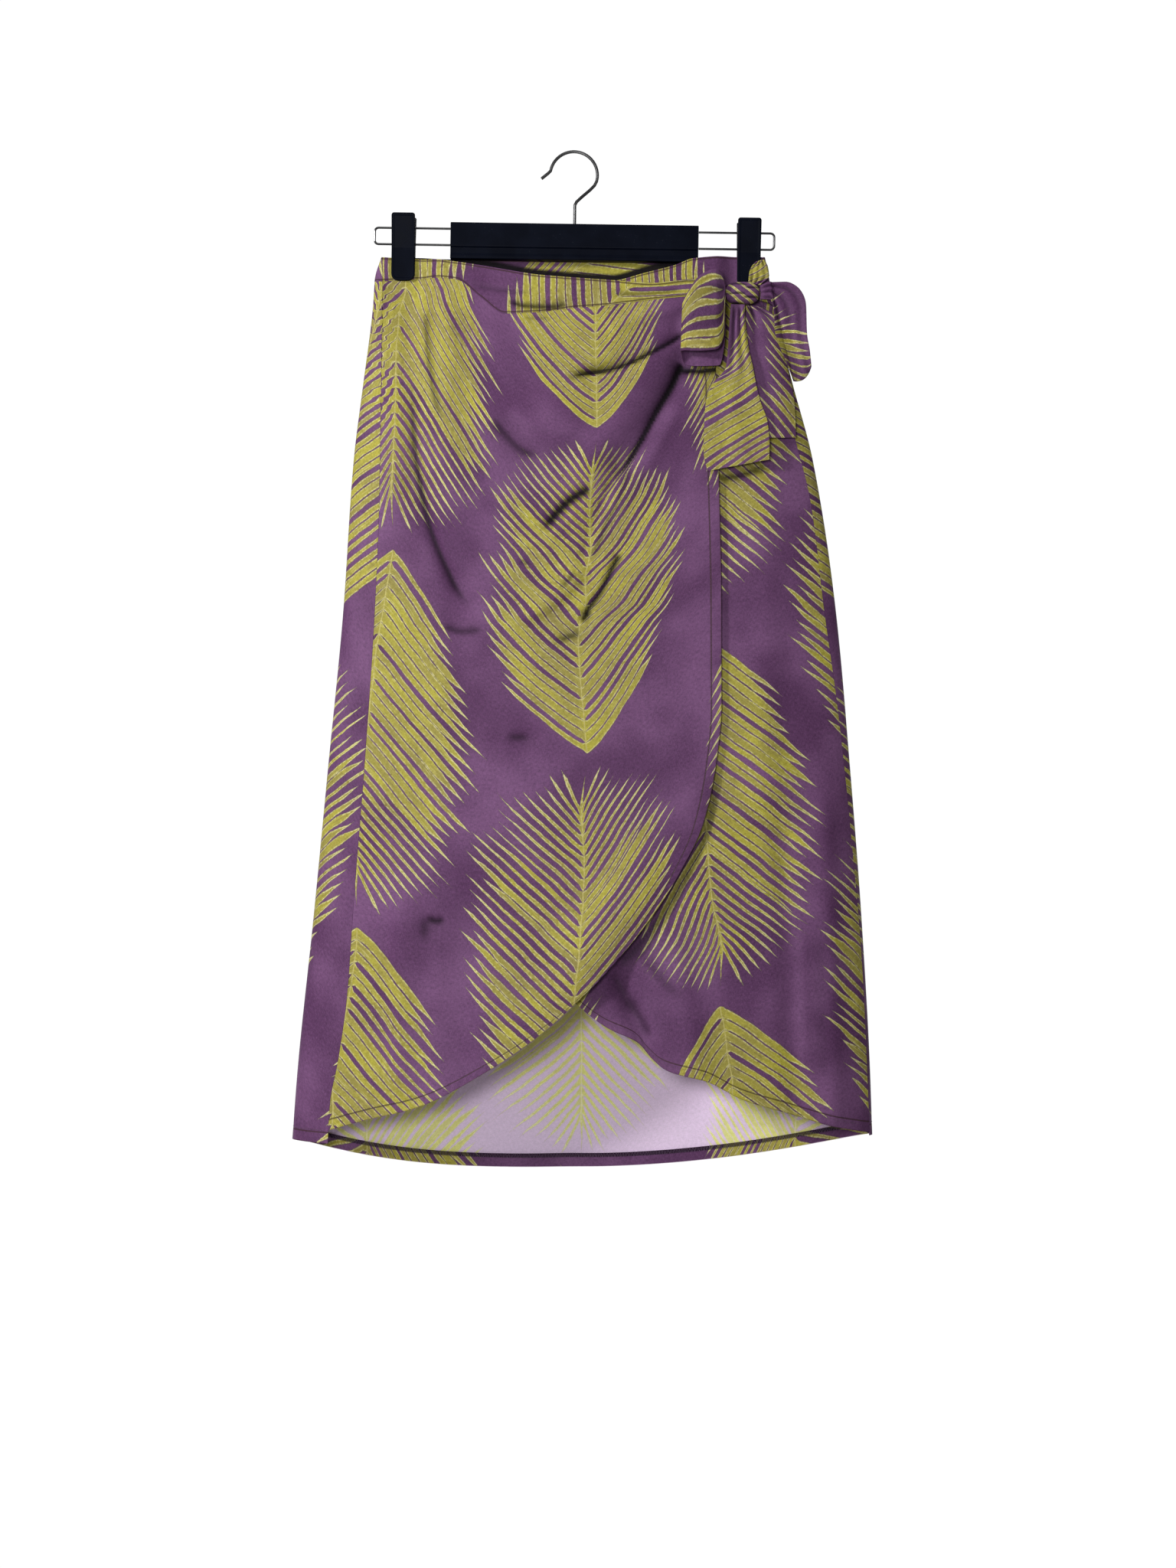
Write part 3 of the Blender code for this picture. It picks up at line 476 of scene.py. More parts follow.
def coons(top, bottom, left, right):
    s = np.linspace(0, 1, len(top))[None, :, None]
    t = np.linspace(0, 1, len(left))[:, None, None]
    across = (1 - s) * left[:, None] + s * right[:, None]
    down = (1 - t) * top[None] + t * bottom[None]
    corners = (1 - s) * (1 - t) * top[0] + s * (1 - t) * top[-1]
    corners = corners + (1 - s) * t * bottom[0] + s * t * bottom[-1]
    return across + down - corners


def edge(x, drop):
    x, drop = np.broadcast_arrays(np.asarray(x, float), np.asarray(drop, float))
    return np.stack([turnAt(x, drop), drop], axis=-1)


def seamRows(seam, top, bottom, shift, rows):
    drop = np.linspace(top, bottom, rows + 1)
    return edge(smooth(drop, seam["drop"], seam["x"]) + shift, drop)


def normals(grid):
    down = np.gradient(grid, axis=0)
    across = np.gradient(grid, axis=1)
    normal = np.cross(down, across)
    return normal / np.maximum(np.linalg.norm(normal, axis=-1, keepdims=True), 1e-9)


def overlapTop(columns):
    start = smooth(overlapBand["seam"][0], leftSeam["drop"], leftSeam["x"]) + cloth["seamGap"]
    return np.linspace(start, overlapSide["x"][0], columns + 1)


def underlapTop(columns):
    end = smooth(underlapBand["seam"][-1], rightSeam["drop"], rightSeam["x"]) - cloth["seamGap"]
    return np.linspace(underlapSide["x"][0], end, columns + 1)


def bandLine(band, x, line, shift=0.0):
    return smooth(x, band["x"], band[line]) + shift * cloth["seamGap"] / 2


def frontPanel(band, topX, seam, side, hem, rows, seamOnLeft):
    # sewn into a side seam on one side, with its free edge on the other and the hem between them
    sewn, free = (0, -1) if seamOnLeft else (-1, 0)
    top = edge(topX, bandLine(band, topX, "seam", 1))
    shift = cloth["seamGap"] if seamOnLeft else -cloth["seamGap"]
    sewnSide = seamRows(seam, top[sewn, 1], hem["drop"][-1], shift, rows)
    sideX, sideDrop = along(side, rows + 1)
    freeSide = edge(sideX, sideDrop + (top[free, 1] - sideDrop[0]) * np.linspace(1, 0, rows + 1))
    bottom = edge(*along(hem, len(topX)))
    if seamOnLeft:
        bottom = bottom[::-1]
    bottom[sewn] = sewnSide[-1]
    left, right = (sewnSide, freeSide) if seamOnLeft else (freeSide, sewnSide)
    return np.moveaxis(coons(top, bottom, left, right), -1, 0)


def backGrid(topLine, bottomLine, rows, columns):
    # rows that run from the left seam round the back to the right seam, between two lines
    across = np.linspace(0, 1, columns + 1)
    turns = []
    drops = []
    for share in np.linspace(0, 1, rows + 1):
        drop = np.full(columns + 1, 500.0)
        for again in range(6):
            leftX = smooth(drop[0], leftSeam["drop"], leftSeam["x"]) - cloth["seamGap"]
            rightX = smooth(drop[-1], rightSeam["drop"], rightSeam["x"]) + cloth["seamGap"]
            start = turnAt(leftX, drop[0])
            end = turnAt(rightX, drop[-1]) - 4
            turn = start + (end - start) * across
            x = tube(turn, drop)[..., 0]
            drop = topLine(x, turn) * (1 - share) + bottomLine(x, turn) * share
        turns.append(turn[::-1])
        drops.append(drop[::-1])
    return np.array(turns), np.array(drops)


def backLine(line, shift=0.0):
    return lambda x, turn: bandLine(backBand, x, line, shift)


def frontBand(band, x, rows):
    top = bandLine(band, x, "top")
    seam = bandLine(band, x, "seam", -1)
    drop = np.array([top + (seam - top) * share for share in np.linspace(0, 1, rows + 1)])
    return turnAt(np.broadcast_to(x, drop.shape), drop), drop


print("stage: how the print lies on the cut pieces")

printSize = {
    "repeat": 350.0,          # from one frond to the next down a column
    "columns": 205.0,         # between two columns of fronds
    "rib": 298.0,             # length of a frond's rib
    "leaflets": 28,
    "reachLeft": 126.0,
    "reachRight": 110.0,
    "leastLeft": 19.0,        # reach of the last leaflet at the rib's end
    "leastRight": 9.0,
    "slopeLeft": 0.86,
    "slopeRight": 1.17,
    "fanLeft": 7.0,           # how fast the leaflets stand up towards the rib's end
    "fanRight": 15.0,
    "crown": 4.0,
    "bend": 9.0,              # of the leaflets near the smooth tip, and how far it reaches out and up
    "bendOut": 14.0,
    "bendUp": 70.0,
    "crowded": 14.0,          # over this length at the rib's end the leaflets stand closer
    "growth": 82.0,           # how soon the leaflets reach their full length
    "lowShare": 0.42,         # the lower share of the rib, whose leaflets get shorter
    "lowShorter": 0.34,
    "uneven": 0.17,
    "crownFrom": 70.0,        # the crown of free leaflets at the rib's end
    "crownTo": 112.0,
    "taperFrom": 0.60,        # where along it a leaflet starts to taper
    "taperVaries": 0.22,
    "taperCrown": 0.34,
    "spike": 30.0,            # length of the last leaflet, which carries the rib on
    "openChance": 0.40,       # share of leaflets with a wide gap beside them, and how many more at the crown
    "openCrown": 0.7,
    "slit": 0.050,            # width of the thin gaps, and of the lens that some of them widen to
    "lens": 0.070,
}

# Where each column's rib runs on a panel, how far down the print each drop is, and how the print leans
overlapPrint = [
    {"u": -205.0, "lean": -0.12,
     "v": table("drop v", [(317, -227), (375, -175), (640, 90), (726, 175)]),
     "rib": table("drop x", [(131, -158.4), (154, -164.8), (202, -167), (252, -167.2), (281, -169),
                             (317, -170), (375, -168.8), (389, -171), (416, -175.5), (441, -180),
                             (464, -183.4), (560, -195), (640, -203), (726, -202), (871, -224)])},
    {"u": 0.0, "lean": 0.0,
     "v": table("drop v", [(263, -350), (303, -298), (565, 0), (617, 52), (915, 350)]),
     "rib": table("drop x", [(160, 19.7), (263, 21.3), (303, 17.2), (325, 15.2), (345, 14.2), (374, 15.8),
                             (404, 10.3), (424, 11.2), (444, 5.3), (464, 4.3), (513, 7.3), (543, 10.3),
                             (565, 12.2), (617, 7.1), (670, 9.6), (706, 8), (747, 4.7), (793, 0.5)])},
    # the free side is pulled up into the tie, so its print sits higher
    {"u": 205.0, "lean": 0.0,
     "v": table("drop v", [(210, -345), (290, -245), (400, -115), (596, 75), (726, 205)]),
     "rib": table("drop x", [(160, 182), (250, 203), (400, 208), (560, 212), (793, 212)])},
]
underlapPrint = [
    {"u": 205.0, "lean": 0.12, "v": table("drop v", [(444.5, -175), (744, 123), (798, 175), (900, 277)]),
     "rib": table("drop x", [(444, 102), (629, 122), (652, 123.4), (683, 125.6), (708, 129), (733, 134.8),
                             (744, 136.2), (798, 134.8), (821, 139), (847, 142), (865, 146)])},
]
backPrint = [
    {"u": 0.0, "lean": 0.35, "v": table("drop v", [(440, 0), (795, 350)]), "offset": -205.0},
    {"u": 205.0, "lean": -0.2, "v": table("drop v", [(265.5, -175), (615.5, 175), (913.5, 473)]),
     "rib": table("drop x", [(100, 6.7), (913, 6.7)])},
    {"u": 410.0, "lean": -0.6, "v": table("drop v", [(437, 0), (803, 350)]), "offset": 205.0},
]


def girthTable():
    drops = np.arange(90.0, 972.0, 6.0)
    turns = np.linspace(-3.3, 1.3, 1381)
    points = tube(turns[None, :], drops[:, None] + 0 * turns[None, :])
    steps = np.hypot(np.diff(points[..., 0], axis=1), np.diff(points[..., 1], axis=1))
    girth = np.concatenate([np.zeros((len(drops), 1)), np.cumsum(steps, axis=1)], axis=1)
    zero = np.array([np.interp(0.0, turns, row) for row in girth])
    return drops, turns, girth - zero[:, None]


girthDrops, girthTurns, girths = girthTable()


def girthAt(turn, drop):
    # length of cloth round the tube from the middle of the front
    i = np.clip((drop - girthDrops[0]) / 6.0, 0, len(girthDrops) - 1.001)
    k = np.clip((turn - girthTurns[0]) / (girthTurns[1] - girthTurns[0]), 0, len(girthTurns) - 1.001)
    i0 = i.astype(int)
    k0 = k.astype(int)
    fi = i - i0
    fk0 = k - k0
    low = girths[i0, k0] * (1 - fk0) + girths[i0, k0 + 1] * fk0
    high = girths[i0 + 1, k0] * (1 - fk0) + girths[i0 + 1, k0 + 1] * fk0
    return low * (1 - fi) + high * fi


def printMap(turn, drop, columns, middle=0, behind=False):
    # print coordinates of a panel: across it from rib to rib, and down it by how each rib runs
    girth = girthAt(turn, drop)
    rib = columns[middle]["rib"]
    ribTurn = turnAt(smooth(drop, rib["drop"], rib["x"]), drop)
    middleGirth = girthAt(-2 - ribTurn if behind else ribTurn, drop)
    u = None
    for column in columns:
        ribGirth = middleGirth
        if "offset" in column:
            ribGirth = middleGirth + column["offset"]
        elif column is not columns[middle]:
            ribGirth = girthAt(turnAt(smooth(drop, column["rib"]["drop"], column["rib"]["x"]), drop), drop)
        away = girth - ribGirth
        down = smooth(drop, column["v"]["drop"], column["v"]["v"], straight=True) + column["lean"] * away
        if u is None:
            u = column["u"] + away
            v = down
        else:
            share = np.clip(lastAway / (lastAway - away), 0, 1)
            between = lastU + (column["u"] - lastU) * share
            u = np.where(away >= 0, column["u"] + away, np.where(lastAway <= 0, u, between))
            mix = share * share * (3 - 2 * share)
            v = v * (1 - mix) + down * mix
        lastAway = away
        lastU = column["u"]
    return np.stack([u, v], axis=-1)


def gatheredPrint(uv, turn, drop):
    # the print's lines waver where the cloth is gathered into the left side seam
    away = tube(turn, drop)[..., 0] - smooth(drop, leftSeam["drop"], leftSeam["x"])
    strength = 1.8 * np.exp(-(away / 14) ** 2) * ease(drop, 112, 135) * (1 - ease(drop, 215, 275))
    wave = gatherWave(drop, 0.6)
    return uv + np.stack([0 * wave, strength * wave], axis=-1)


def draggedPrint(uv, turn, drop):
    # the valley under the bow swallows some cloth, so the print jumps across it
    valley = table("x drop", overlapCreases[0][1])
    px, pd = along(valley, 28)
    away, where, length = offLine(tube(turn, drop)[..., 0], drop, px, pd)
    hidden = cloth["dragHides"] * ease(-away, 0, 4) * (1 - ease(drop, 255, 345))
    return uv + np.stack([hidden, 0 * hidden], axis=-1)


def turnedUv(across, down, degrees, shiftU, shiftV):
    # print cut at an angle, as on the waistbands and the tie
    c = math.cos(math.radians(degrees))
    s = math.sin(math.radians(degrees))
    return np.stack([across * c + down * s + shiftU, down * c - across * s + shiftV], axis=-1)


def turnedMap(turn, drop, degrees, shiftU, shiftV):
    return turnedUv(girthAt(turn, drop), drop, degrees, shiftU, shiftV)


print("stage: cloth pieces")


sharpFrom = math.radians(50)


def meshFrom(name, points, faces, materials, faceMaterials=None, maps=None, shade=None):
    mesh = bpy.data.meshes.new(name)
    mesh.from_pydata(points.tolist(), [], faces.tolist() if hasattr(faces, "tolist") else faces)
    for material in materials:
        mesh.materials.append(material)
    if faceMaterials is not None:
        mesh.polygons.foreach_set("material_index", faceMaterials)
    corner = np.empty(len(mesh.loops), int)
    mesh.loops.foreach_get("vertex_index", corner)
    for mapName, values in (maps or {}).items():
        layer = mesh.uv_layers.new(name=mapName)
        layer.data.foreach_set("uv", np.ascontiguousarray(values[corner], dtype=np.float32).ravel())
    if shade is not None:
        attribute = mesh.attributes.new("shade", "FLOAT", "POINT")
        attribute.data.foreach_set("value", np.ascontiguousarray(shade, dtype=np.float32).ravel())
    mesh.shade_smooth()
    mesh.set_sharp_from_angle(angle=sharpFrom)
    mesh.update()
    obj = bpy.data.objects.new(name, mesh)
    bpy.context.scene.collection.objects.link(obj)
    return obj


def shell(name, grid, wall, printUv, sewUv, materials, shade=1.0, innerShade=1.0):
    # a closed wall of cloth round a grid of middle points in millimetres
    rows, columns = grid.shape[:2]
    half = np.broadcast_to(np.asarray(wall, float) / 2, grid.shape[:2])[..., None]
    offset = normals(grid) * half
    points = np.concatenate([(grid + offset).reshape(-1, 3), (grid - offset).reshape(-1, 3)]) * mm
    index = np.arange(rows * columns).reshape(rows, columns)
    a = index[:-1, :-1].ravel()
    b = index[1:, :-1].ravel()
    c = index[1:, 1:].ravel()
    d = index[:-1, 1:].ravel()
    n = rows * columns
    outer = np.stack([a, b, c, d], axis=1)
    inner = np.stack([a, d, c, b], axis=1) + n
    rims = []
    for line, flip in ((index[0], False), (index[-1], True), (index[:, 0], True), (index[:, -1], False)):
        p, q = (line[1:], line[:-1]) if flip else (line[:-1], line[1:])
        rims.append(np.stack([p, q, q + n, p + n], axis=1))
    faces = np.concatenate([outer, inner] + rims)
    count = len(outer)
    faceMaterials = np.zeros(len(faces), np.int32)
    faceMaterials[count:2 * count] = 1
    maps = {"print": np.concatenate([printUv.reshape(-1, 2)] * 2) * mm}
    maps["sewing"] = np.concatenate([sewUv.reshape(-1, 2)] * 2) * mm
    both = [np.broadcast_to(side, grid.shape[:2]).ravel() for side in (shade, innerShade)]
    return meshFrom(name, points, faces, materials, faceMaterials, maps, np.concatenate(both))


def operator(operation, swapped=False):
    # a method that adds a Math node, with its two values the other way round where it is swapped
    def method(self, *others):
        values = (self, *others)
        return self.math(operation, *(values[::-1] if swapped else values))
    return method


class Value:
    # a node's socket that Python arithmetic works on
    __add__, __radd__ = operator("ADD"), operator("ADD", True)
    __sub__, __rsub__ = operator("SUBTRACT"), operator("SUBTRACT", True)
    __mul__, __rmul__ = operator("MULTIPLY"), operator("MULTIPLY", True)
    __truediv__, __pow__ = operator("DIVIDE"), operator("POWER")
    __gt__, __lt__ = operator("GREATER_THAN"), operator("LESS_THAN")
    least, most = operator("MINIMUM"), operator("MAXIMUM")
    floor, rounded, fraction = operator("FLOOR"), operator("ROUND"), operator("FRACT")
    size, sine, exponent = operator("ABSOLUTE"), operator("SINE"), operator("EXPONENT")

    def __init__(self, tree, socket=None):
        self.tree = tree
        self.socket = socket

    def node(self, kind, settings, inputs, output=0):
        made = self.tree.nodes.new(kind)
        for name, setting in settings.items():
            setattr(made, name, setting)
        for key, value in inputs.items():
            if isinstance(value, Value):
                self.tree.links.new(value.socket, made.inputs[key])
            else:
                made.inputs[key].default_value = value
        return Value(self.tree, made.outputs[output])

    def math(self, operation, *values):
        return self.node("ShaderNodeMath", {"operation": operation}, dict(enumerate(values)))

    def held(self, low=0.0, high=1.0):
        return self.node("ShaderNodeClamp", {}, {0: self, 1: low, 2: high})

    def eased(self, start, end):
        settings = {"interpolation_type": "SMOOTHSTEP"}
        return self.node("ShaderNodeMapRange", settings, {0: self, 1: start, 2: end, 3: 0.0, 4: 1.0})

    def colour(self, low, high):
        # low where the value is 0, high where it is 1
        low = low if isinstance(low, Value) else (*low, 1.0)
        high = high if isinstance(high, Value) else (*high, 1.0)
        return self.node("ShaderNodeMix", {"data_type": "RGBA"}, {0: self, 6: low, 7: high}, 2)


def splitVector(start, vector):
    return [start.node("ShaderNodeSeparateXYZ", {}, {0: vector}, i) for i in range(3)]


def joinVector(start, x, y, z=0.0):
    return start.node("ShaderNodeCombineXYZ", {}, {0: x, 1: y, 2: z})


def noise(start, vector, scale, detail=2.0, rough=0.5, output=0):
    inputs = {"Vector": vector, "Scale": scale, "Detail": detail, "Roughness": rough}
    return start.node("ShaderNodeTexNoise", {"noise_dimensions": "3D"}, inputs, output)


def chances(start, x, y, z):
    # three random numbers that stay the same for the same x, y and z
    place = joinVector(start, x, y, z)
    white = start.node("ShaderNodeTexWhiteNoise", {"noise_dimensions": "3D"}, {0: place}, 1)
    return [start.node("ShaderNodeSeparateColor", {}, {0: white}, i) for i in range(3)]


def gapAt(start, chance, ax, outward, crown):
    # how much of a leaflet's width is bare beside the boundary that the chance belongs to
    size = printSize
    opened = chance < (size["openChance"] + size["openCrown"] * crown)
    wide = (0.22 + 0.42 * chance * (1 - crown) + 0.12 * crown) * (0.62 + 0.55 * outward) * ax.eased(0.2, 4.0)
    other = (chance * 13.7).fraction()
    closes = ax.eased(18.0 + 50 * other, 34.0 + 62 * other)
    slit = ax.eased(1.5, 6.0) * (size["slit"] + 0.05 * outward) * (1 - 0.9 * closes)
    lens = (1 - ((ax - (30 + 60 * other)) / 16) ** 2).held() * size["lens"]
    return opened * wide + (1 - opened) * slit.most(lens)


def frond(start, x, y, key):
    # one palm frond with its smooth tip at y 0 and its rib up x 0, all in millimetres
    size = printSize
    rib = size["rib"]
    spacing = rib / size["leaflets"]
    side = x > 0
    ax = x.size()
    slope = size["slopeLeft"] + side * (size["slopeRight"] - size["slopeLeft"])
    fan = size["fanLeft"] + side * (size["fanRight"] - size["fanLeft"])
    # leaflets stand steeper towards the rib's end, so the foot of the one at x, y is a square root; near the
    # smooth tip they leave the rib flatter and bend up
    bend = size["bend"] * (1 - (ax / -size["bendOut"]).exponent())
    bend = bend * (y.most(0.0) / -size["bendUp"]).exponent()
    rest = (rib + size["crown"]) - y + slope * (ax - bend)
    below = (rest + (rest * rest + 4 * fan * ax) ** 0.5) * 0.5 - size["crown"]
    base = rib - below
    q = (base + spacing * (below / -size["crowded"]).exponent()) / spacing
    leaf = q.floor()
    f = q - leaf
    here = chances(start, leaf, side, key)
    above = chances(start, leaf + 1, side, key)
    lowest = size["lowShare"] * rib
    low = ((lowest - base) / lowest).held()
    least = size["leastLeft"] + side * (size["leastRight"] - size["leastLeft"])
    most = size["reachLeft"] + side * (size["reachRight"] - size["reachLeft"])
    foot = (below / size["growth"]).most(0.0)
    reach = most - (most - least) * (foot * -1).exponent()
    reach = reach * (1 - size["lowShorter"] * low * low) * (1 - size["uneven"] * here[1])
    crown = 1 - below.eased(size["crownFrom"], size["crownTo"])
    outward = ax / reach
    t0 = size["taperFrom"] + size["taperVaries"] * here[2] - size["taperCrown"] * crown
    end = ((outward - t0) / (1 - t0)).held(0.0, 1.4)
    half = (0.5 - 0.5 * end) * (1 - 0.12 * crown)
    streak = noise(start, joinVector(start, q * 6.5, ax * 0.05, key), 1.0, 2.0, 0.6)
    gapLow = gapAt(start, here[0], ax, outward, crown)
    gapHigh = gapAt(start, above[0], ax, outward, crown)
    inside = (f - gapLow).least(1 - f - gapHigh).least(half - (f - 0.5).size()) * (spacing * 0.72)
    inside = inside.least(base * 0.7).least((size["leaflets"] + 1 - q) * spacing)
    spike = (1.5 * (1 - (y - rib) / size["spike"]).least(1.0) - ax).least((y - rib + 26) * 0.1)
    inside = inside.most(spike)
    ribLine = (1.5 - ax / 0.55).least(y * 0.5).least((rib + 2 - y) * 0.5).held()
    return inside, here[1], ribLine, end, streak


def fronds(start, u, v):
    # fronds point up in every other column and down in the ones between, half a repeat apart
    size = printSize
    pair = 2 * size["columns"]
    columnUp = (u / pair).rounded()
    columnDown = ((u - size["columns"]) / pair).rounded()
    upX = u - columnUp * pair
    rowUp = (v / size["repeat"] * -1).floor()
    upY = v * -1 - rowUp * size["repeat"]
    downX = (u - size["columns"] - columnDown * pair) * -1
    shifted = (v - size["repeat"] / 2) / size["repeat"]
    rowDown = shifted.floor()
    downY = (shifted - rowDown) * size["repeat"]
    up = frond(start, upX, upY, rowUp + columnUp * 17.3 + 3.1)
    down = frond(start, downX, downY, rowDown + columnDown * 11.9 + 7.7)
    upper = up[0] > down[0]
    inside = up[0].most(down[0])
    chance = up[1] * upper + down[1] * (1 - upper)
    across = up[3] * upper + down[3] * (1 - upper)
    streak = up[4] * upper + down[4] * (1 - upper)
    return inside, chance, up[2].most(down[2]), across, streak


printedCloth = {
    "leaf": (0.300, 0.260, 0.062),
    "leafBright": (0.395, 0.355, 0.052),
    "leafDull": (0.190, 0.152, 0.070),
    "ground": (0.096, 0.038, 0.099),
    "groundLight": (0.172, 0.078, 0.176),
    "cream": (0.800, 0.750, 0.430),
    "outlineAndHemShade": (0.045, 0.022, 0.022),
    "rib": (0.480, 0.420, 0.150),
    "roughness": 0.50,
    "sheen": 0.0,
    "specular": 0.07,
    "grain": 0.80,            # how strongly the threads show in the colour
}
clothReverse = {
    "leaf": (0.680, 0.660, 0.230),
    "leafBright": (0.760, 0.760, 0.230),
    "leafDull": (0.600, 0.560, 0.320),
    "ground": (0.740, 0.590, 0.770),
    "groundLight": (0.720, 0.570, 0.760),
    "cream": (0.900, 0.870, 0.640),
    "outlineAndHemShade": (0.560, 0.440, 0.500),
    "rib": (0.800, 0.760, 0.470),
    "roughness": 0.62,
    "sheen": 0.05,
    "specular": 0.15,
    "grain": 0.34,
}
clothRelief = {
    "threads": 0.62,          # period of the plain weave
    "bump": 0.35,
    "hemGroove": 1.2,         # half width of the line that the hem's stitching presses in
    "hemPucker": 9.0,         # reach and height of the puckers beside it
    "hemStep": 3.0,
}


def finished(name, roughness, sheen=0.0, metallic=0.0, specular=0.5):
    # a material with its shader's fixed numbers set, and the value to build its nodes from
    material = bpy.data.materials.new(name)
    material.use_nodes = True
    shader = material.node_tree.nodes["Principled BSDF"]
    fixed = {"Roughness": roughness, "Metallic": metallic, "Sheen Weight": sheen, "Sheen Roughness": 0.45,
             "Specular IOR Level": specular}
    for socketName, value in fixed.items():
        shader.inputs[socketName].default_value = value
    return material, shader, Value(material.node_tree)


def connect(value, shader, name):
    value.tree.links.new(value.socket, shader.inputs[name])


def bumped(shader, height, strength):
    # fine relief, a tenth of a millimetre deep
    inputs = {"Strength": strength, "Distance": 0.1 * mm, "Height": height}
    connect(height.node("ShaderNodeBump", {}, inputs), shader, "Normal")


def uvInMillimetres(start, name):
    uv = start.node("ShaderNodeUVMap", {"uv_map": name}, {})
    return [part * 1000 for part in splitVector(start, uv)[:2]]


def objectPlace(start):
    return start.node("ShaderNodeTexCoord", {}, {}, 3)


def clothMaterial(name, finish):
    material, shader, start = finished(name, finish["roughness"], finish["sheen"], 0.0, finish["specular"])
    u, v = uvInMillimetres(start, "print")
    flat = joinVector(start, u, v)
    wx, wy, unused = splitVector(start, noise(start, flat, 0.03, output=1))
    inside, chance, rib, tips, streak = fronds(start, u + (wx - 0.5) * 3.0, v + (wy - 0.5) * 3.0)
    inside = inside + (noise(start, flat, 0.28, 2.0, 0.5) - 0.5) * 0.9
    cover = (inside / 0.5 + 0.5).held()
    patches = noise(start, flat, 0.022, 3.0, 0.6)
    mottle = noise(start, flat, 0.35, 3.0, 0.6)
    # streaks run down the leaflets' threads, finer across than along
    threads = noise(start, joinVector(start, u * 2.6, v * 0.35), 1.0, 2.0, 0.6)
    leaf = patches.eased(0.35, 0.65).colour(finish["leaf"], finish["leafBright"])
    leaf = (chance.eased(0.55, 1.0) * 0.7 * mottle).colour(leaf, finish["leafDull"])
    leaf = (streak.eased(0.52, 0.75) * 0.55).colour(leaf, finish["leafDull"])
    leaf = ((1 - streak.eased(0.22, 0.42)) * 0.35).colour(leaf, finish["cream"])
    edgeCream = (1 - inside / 1.3).held() * (mottle.eased(0.36, 0.60) * 0.75 + tips * 0.6).held()
    leaf = edgeCream.colour(leaf, finish["cream"])
    clouds = noise(start, flat, 0.012).eased(0.35, 0.7)
    ground = clouds.colour(finish["ground"], finish["groundLight"])
    ground = (threads.eased(0.5, 0.75) * 0.35).colour(ground, finish["groundLight"])
    line = ((1 - (inside / 0.5).size()).held() * mottle.eased(0.38, 0.55) * 0.8)
    colour = cover.colour(ground, leaf)
    colour = line.colour(colour, finish["outlineAndHemShade"])
    colour = (rib * 0.8).colour(colour, finish["rib"])
    cross = noise(start, joinVector(start, u * 0.3, v * 2.4), 1.0, 2.0, 0.6)
    grain = 1 + finish["grain"] * ((threads - 0.5) + (cross - 0.5) + (mottle - 0.5))
    colour = start.node("ShaderNodeVectorMath", {"operation": "SCALE"}, {0: colour, 3: grain})
    relief = clothRelief
    runAlong, fromEdge = uvInMillimetres(start, "sewing")
    groove = (1 - ((fromEdge - cloth["hem"]) / relief["hemGroove"]).size()).held()
    fold = (1 - fromEdge / relief["hemGroove"]).held()
    # painted shade: darkened towards the outline colour in the groove that the hem's stitching presses in and
    # along the hemmed edge
    colour = (groove * 0.95 + fold * 0.6).held().colour(colour, finish["outlineAndHemShade"])
    # painted shade: the stored shade attribute darkens the colour towards near black in crease bottoms, between
    # the gathers at the knot and in the gap between the waistbands; on the turn-up's edge it stands for the
    # dark overlock thread
    stored = {"attribute_type": "GEOMETRY", "attribute_name": "shade"}
    colour = start.node("ShaderNodeAttribute", stored, {}, 2).colour((0.004, 0.002, 0.004), colour)
    connect(colour, shader, "Base Color")
    rough = finish["roughness"] + 0.10 * (mottle - 0.5) - 0.05 * cover
    connect(rough, shader, "Roughness")
    # plain weave, with slubs along the threads and puckers beside the hem's stitching
    perThread = 2 * math.pi / relief["threads"]
    weave = (u * perThread).sine() * (v * perThread).sine()
    slub = threads * 0.6 + cross * 0.6
    pucker = noise(start, joinVector(start, runAlong * 0.22, fromEdge * 0.06), 1.0, 1.0)
    besideHem = (1 - ((fromEdge - cloth["hem"]) / relief["hemPucker"]).size()).held()
    hemStep = (1 - fromEdge.eased(cloth["hem"] - 0.7, cloth["hem"] + 0.7)) * relief["hemStep"]
    height = weave * 0.5 + slub * 1.2 + besideHem * pucker * relief["hemPucker"] + hemStep - groove * 3.0
    bumped(shader, height, relief["bump"])
    return material


outsideCloth = clothMaterial("printed cloth", printedCloth)
insideCloth = clothMaterial("reverse of the cloth", clothReverse)

panelCells = {
    "overlap": (300, 140),
    "underlap": (280, 124),
    "back": (220, 200),
    "band": (22, 150),
    "backBand": (22, 200),
    "turnUp": (14, 200),
}


def edgeDistance(grid, sides):
    # distance in millimetres to the nearest of the named sides of a grid, and how far along it
    rows, columns = grid.shape[:2]
    best = np.full((rows, columns), 60.0)
    where = np.zeros((rows, columns))
    acrossSteps = np.linalg.norm(np.diff(grid, axis=1), axis=-1)
    downSteps = np.linalg.norm(np.diff(grid, axis=0), axis=-1)
    fromLeft = np.concatenate([np.zeros((rows, 1)), np.cumsum(acrossSteps, axis=1)], axis=1)
    fromTop = np.concatenate([np.zeros((1, columns)), np.cumsum(downSteps, axis=0)], axis=0)
    choices = {
        "left": (fromLeft, fromTop[:, :1] + 0 * fromLeft),
        "right": (fromLeft[:, -1:] - fromLeft, fromTop[:, -1:] + 0 * fromLeft),
        "bottom": (fromTop[-1:] - fromTop, fromLeft[-1:] + 0 * fromTop + 900),
        "top": (fromTop, fromLeft[:1] + 0 * fromTop + 1800),
    }
    for side in sides:
        distance, run = choices[side]
        nearer = distance < best
        best = np.where(nearer, distance, best)
        where = np.where(nearer, run, where)
    return np.stack([where, best], axis=-1)


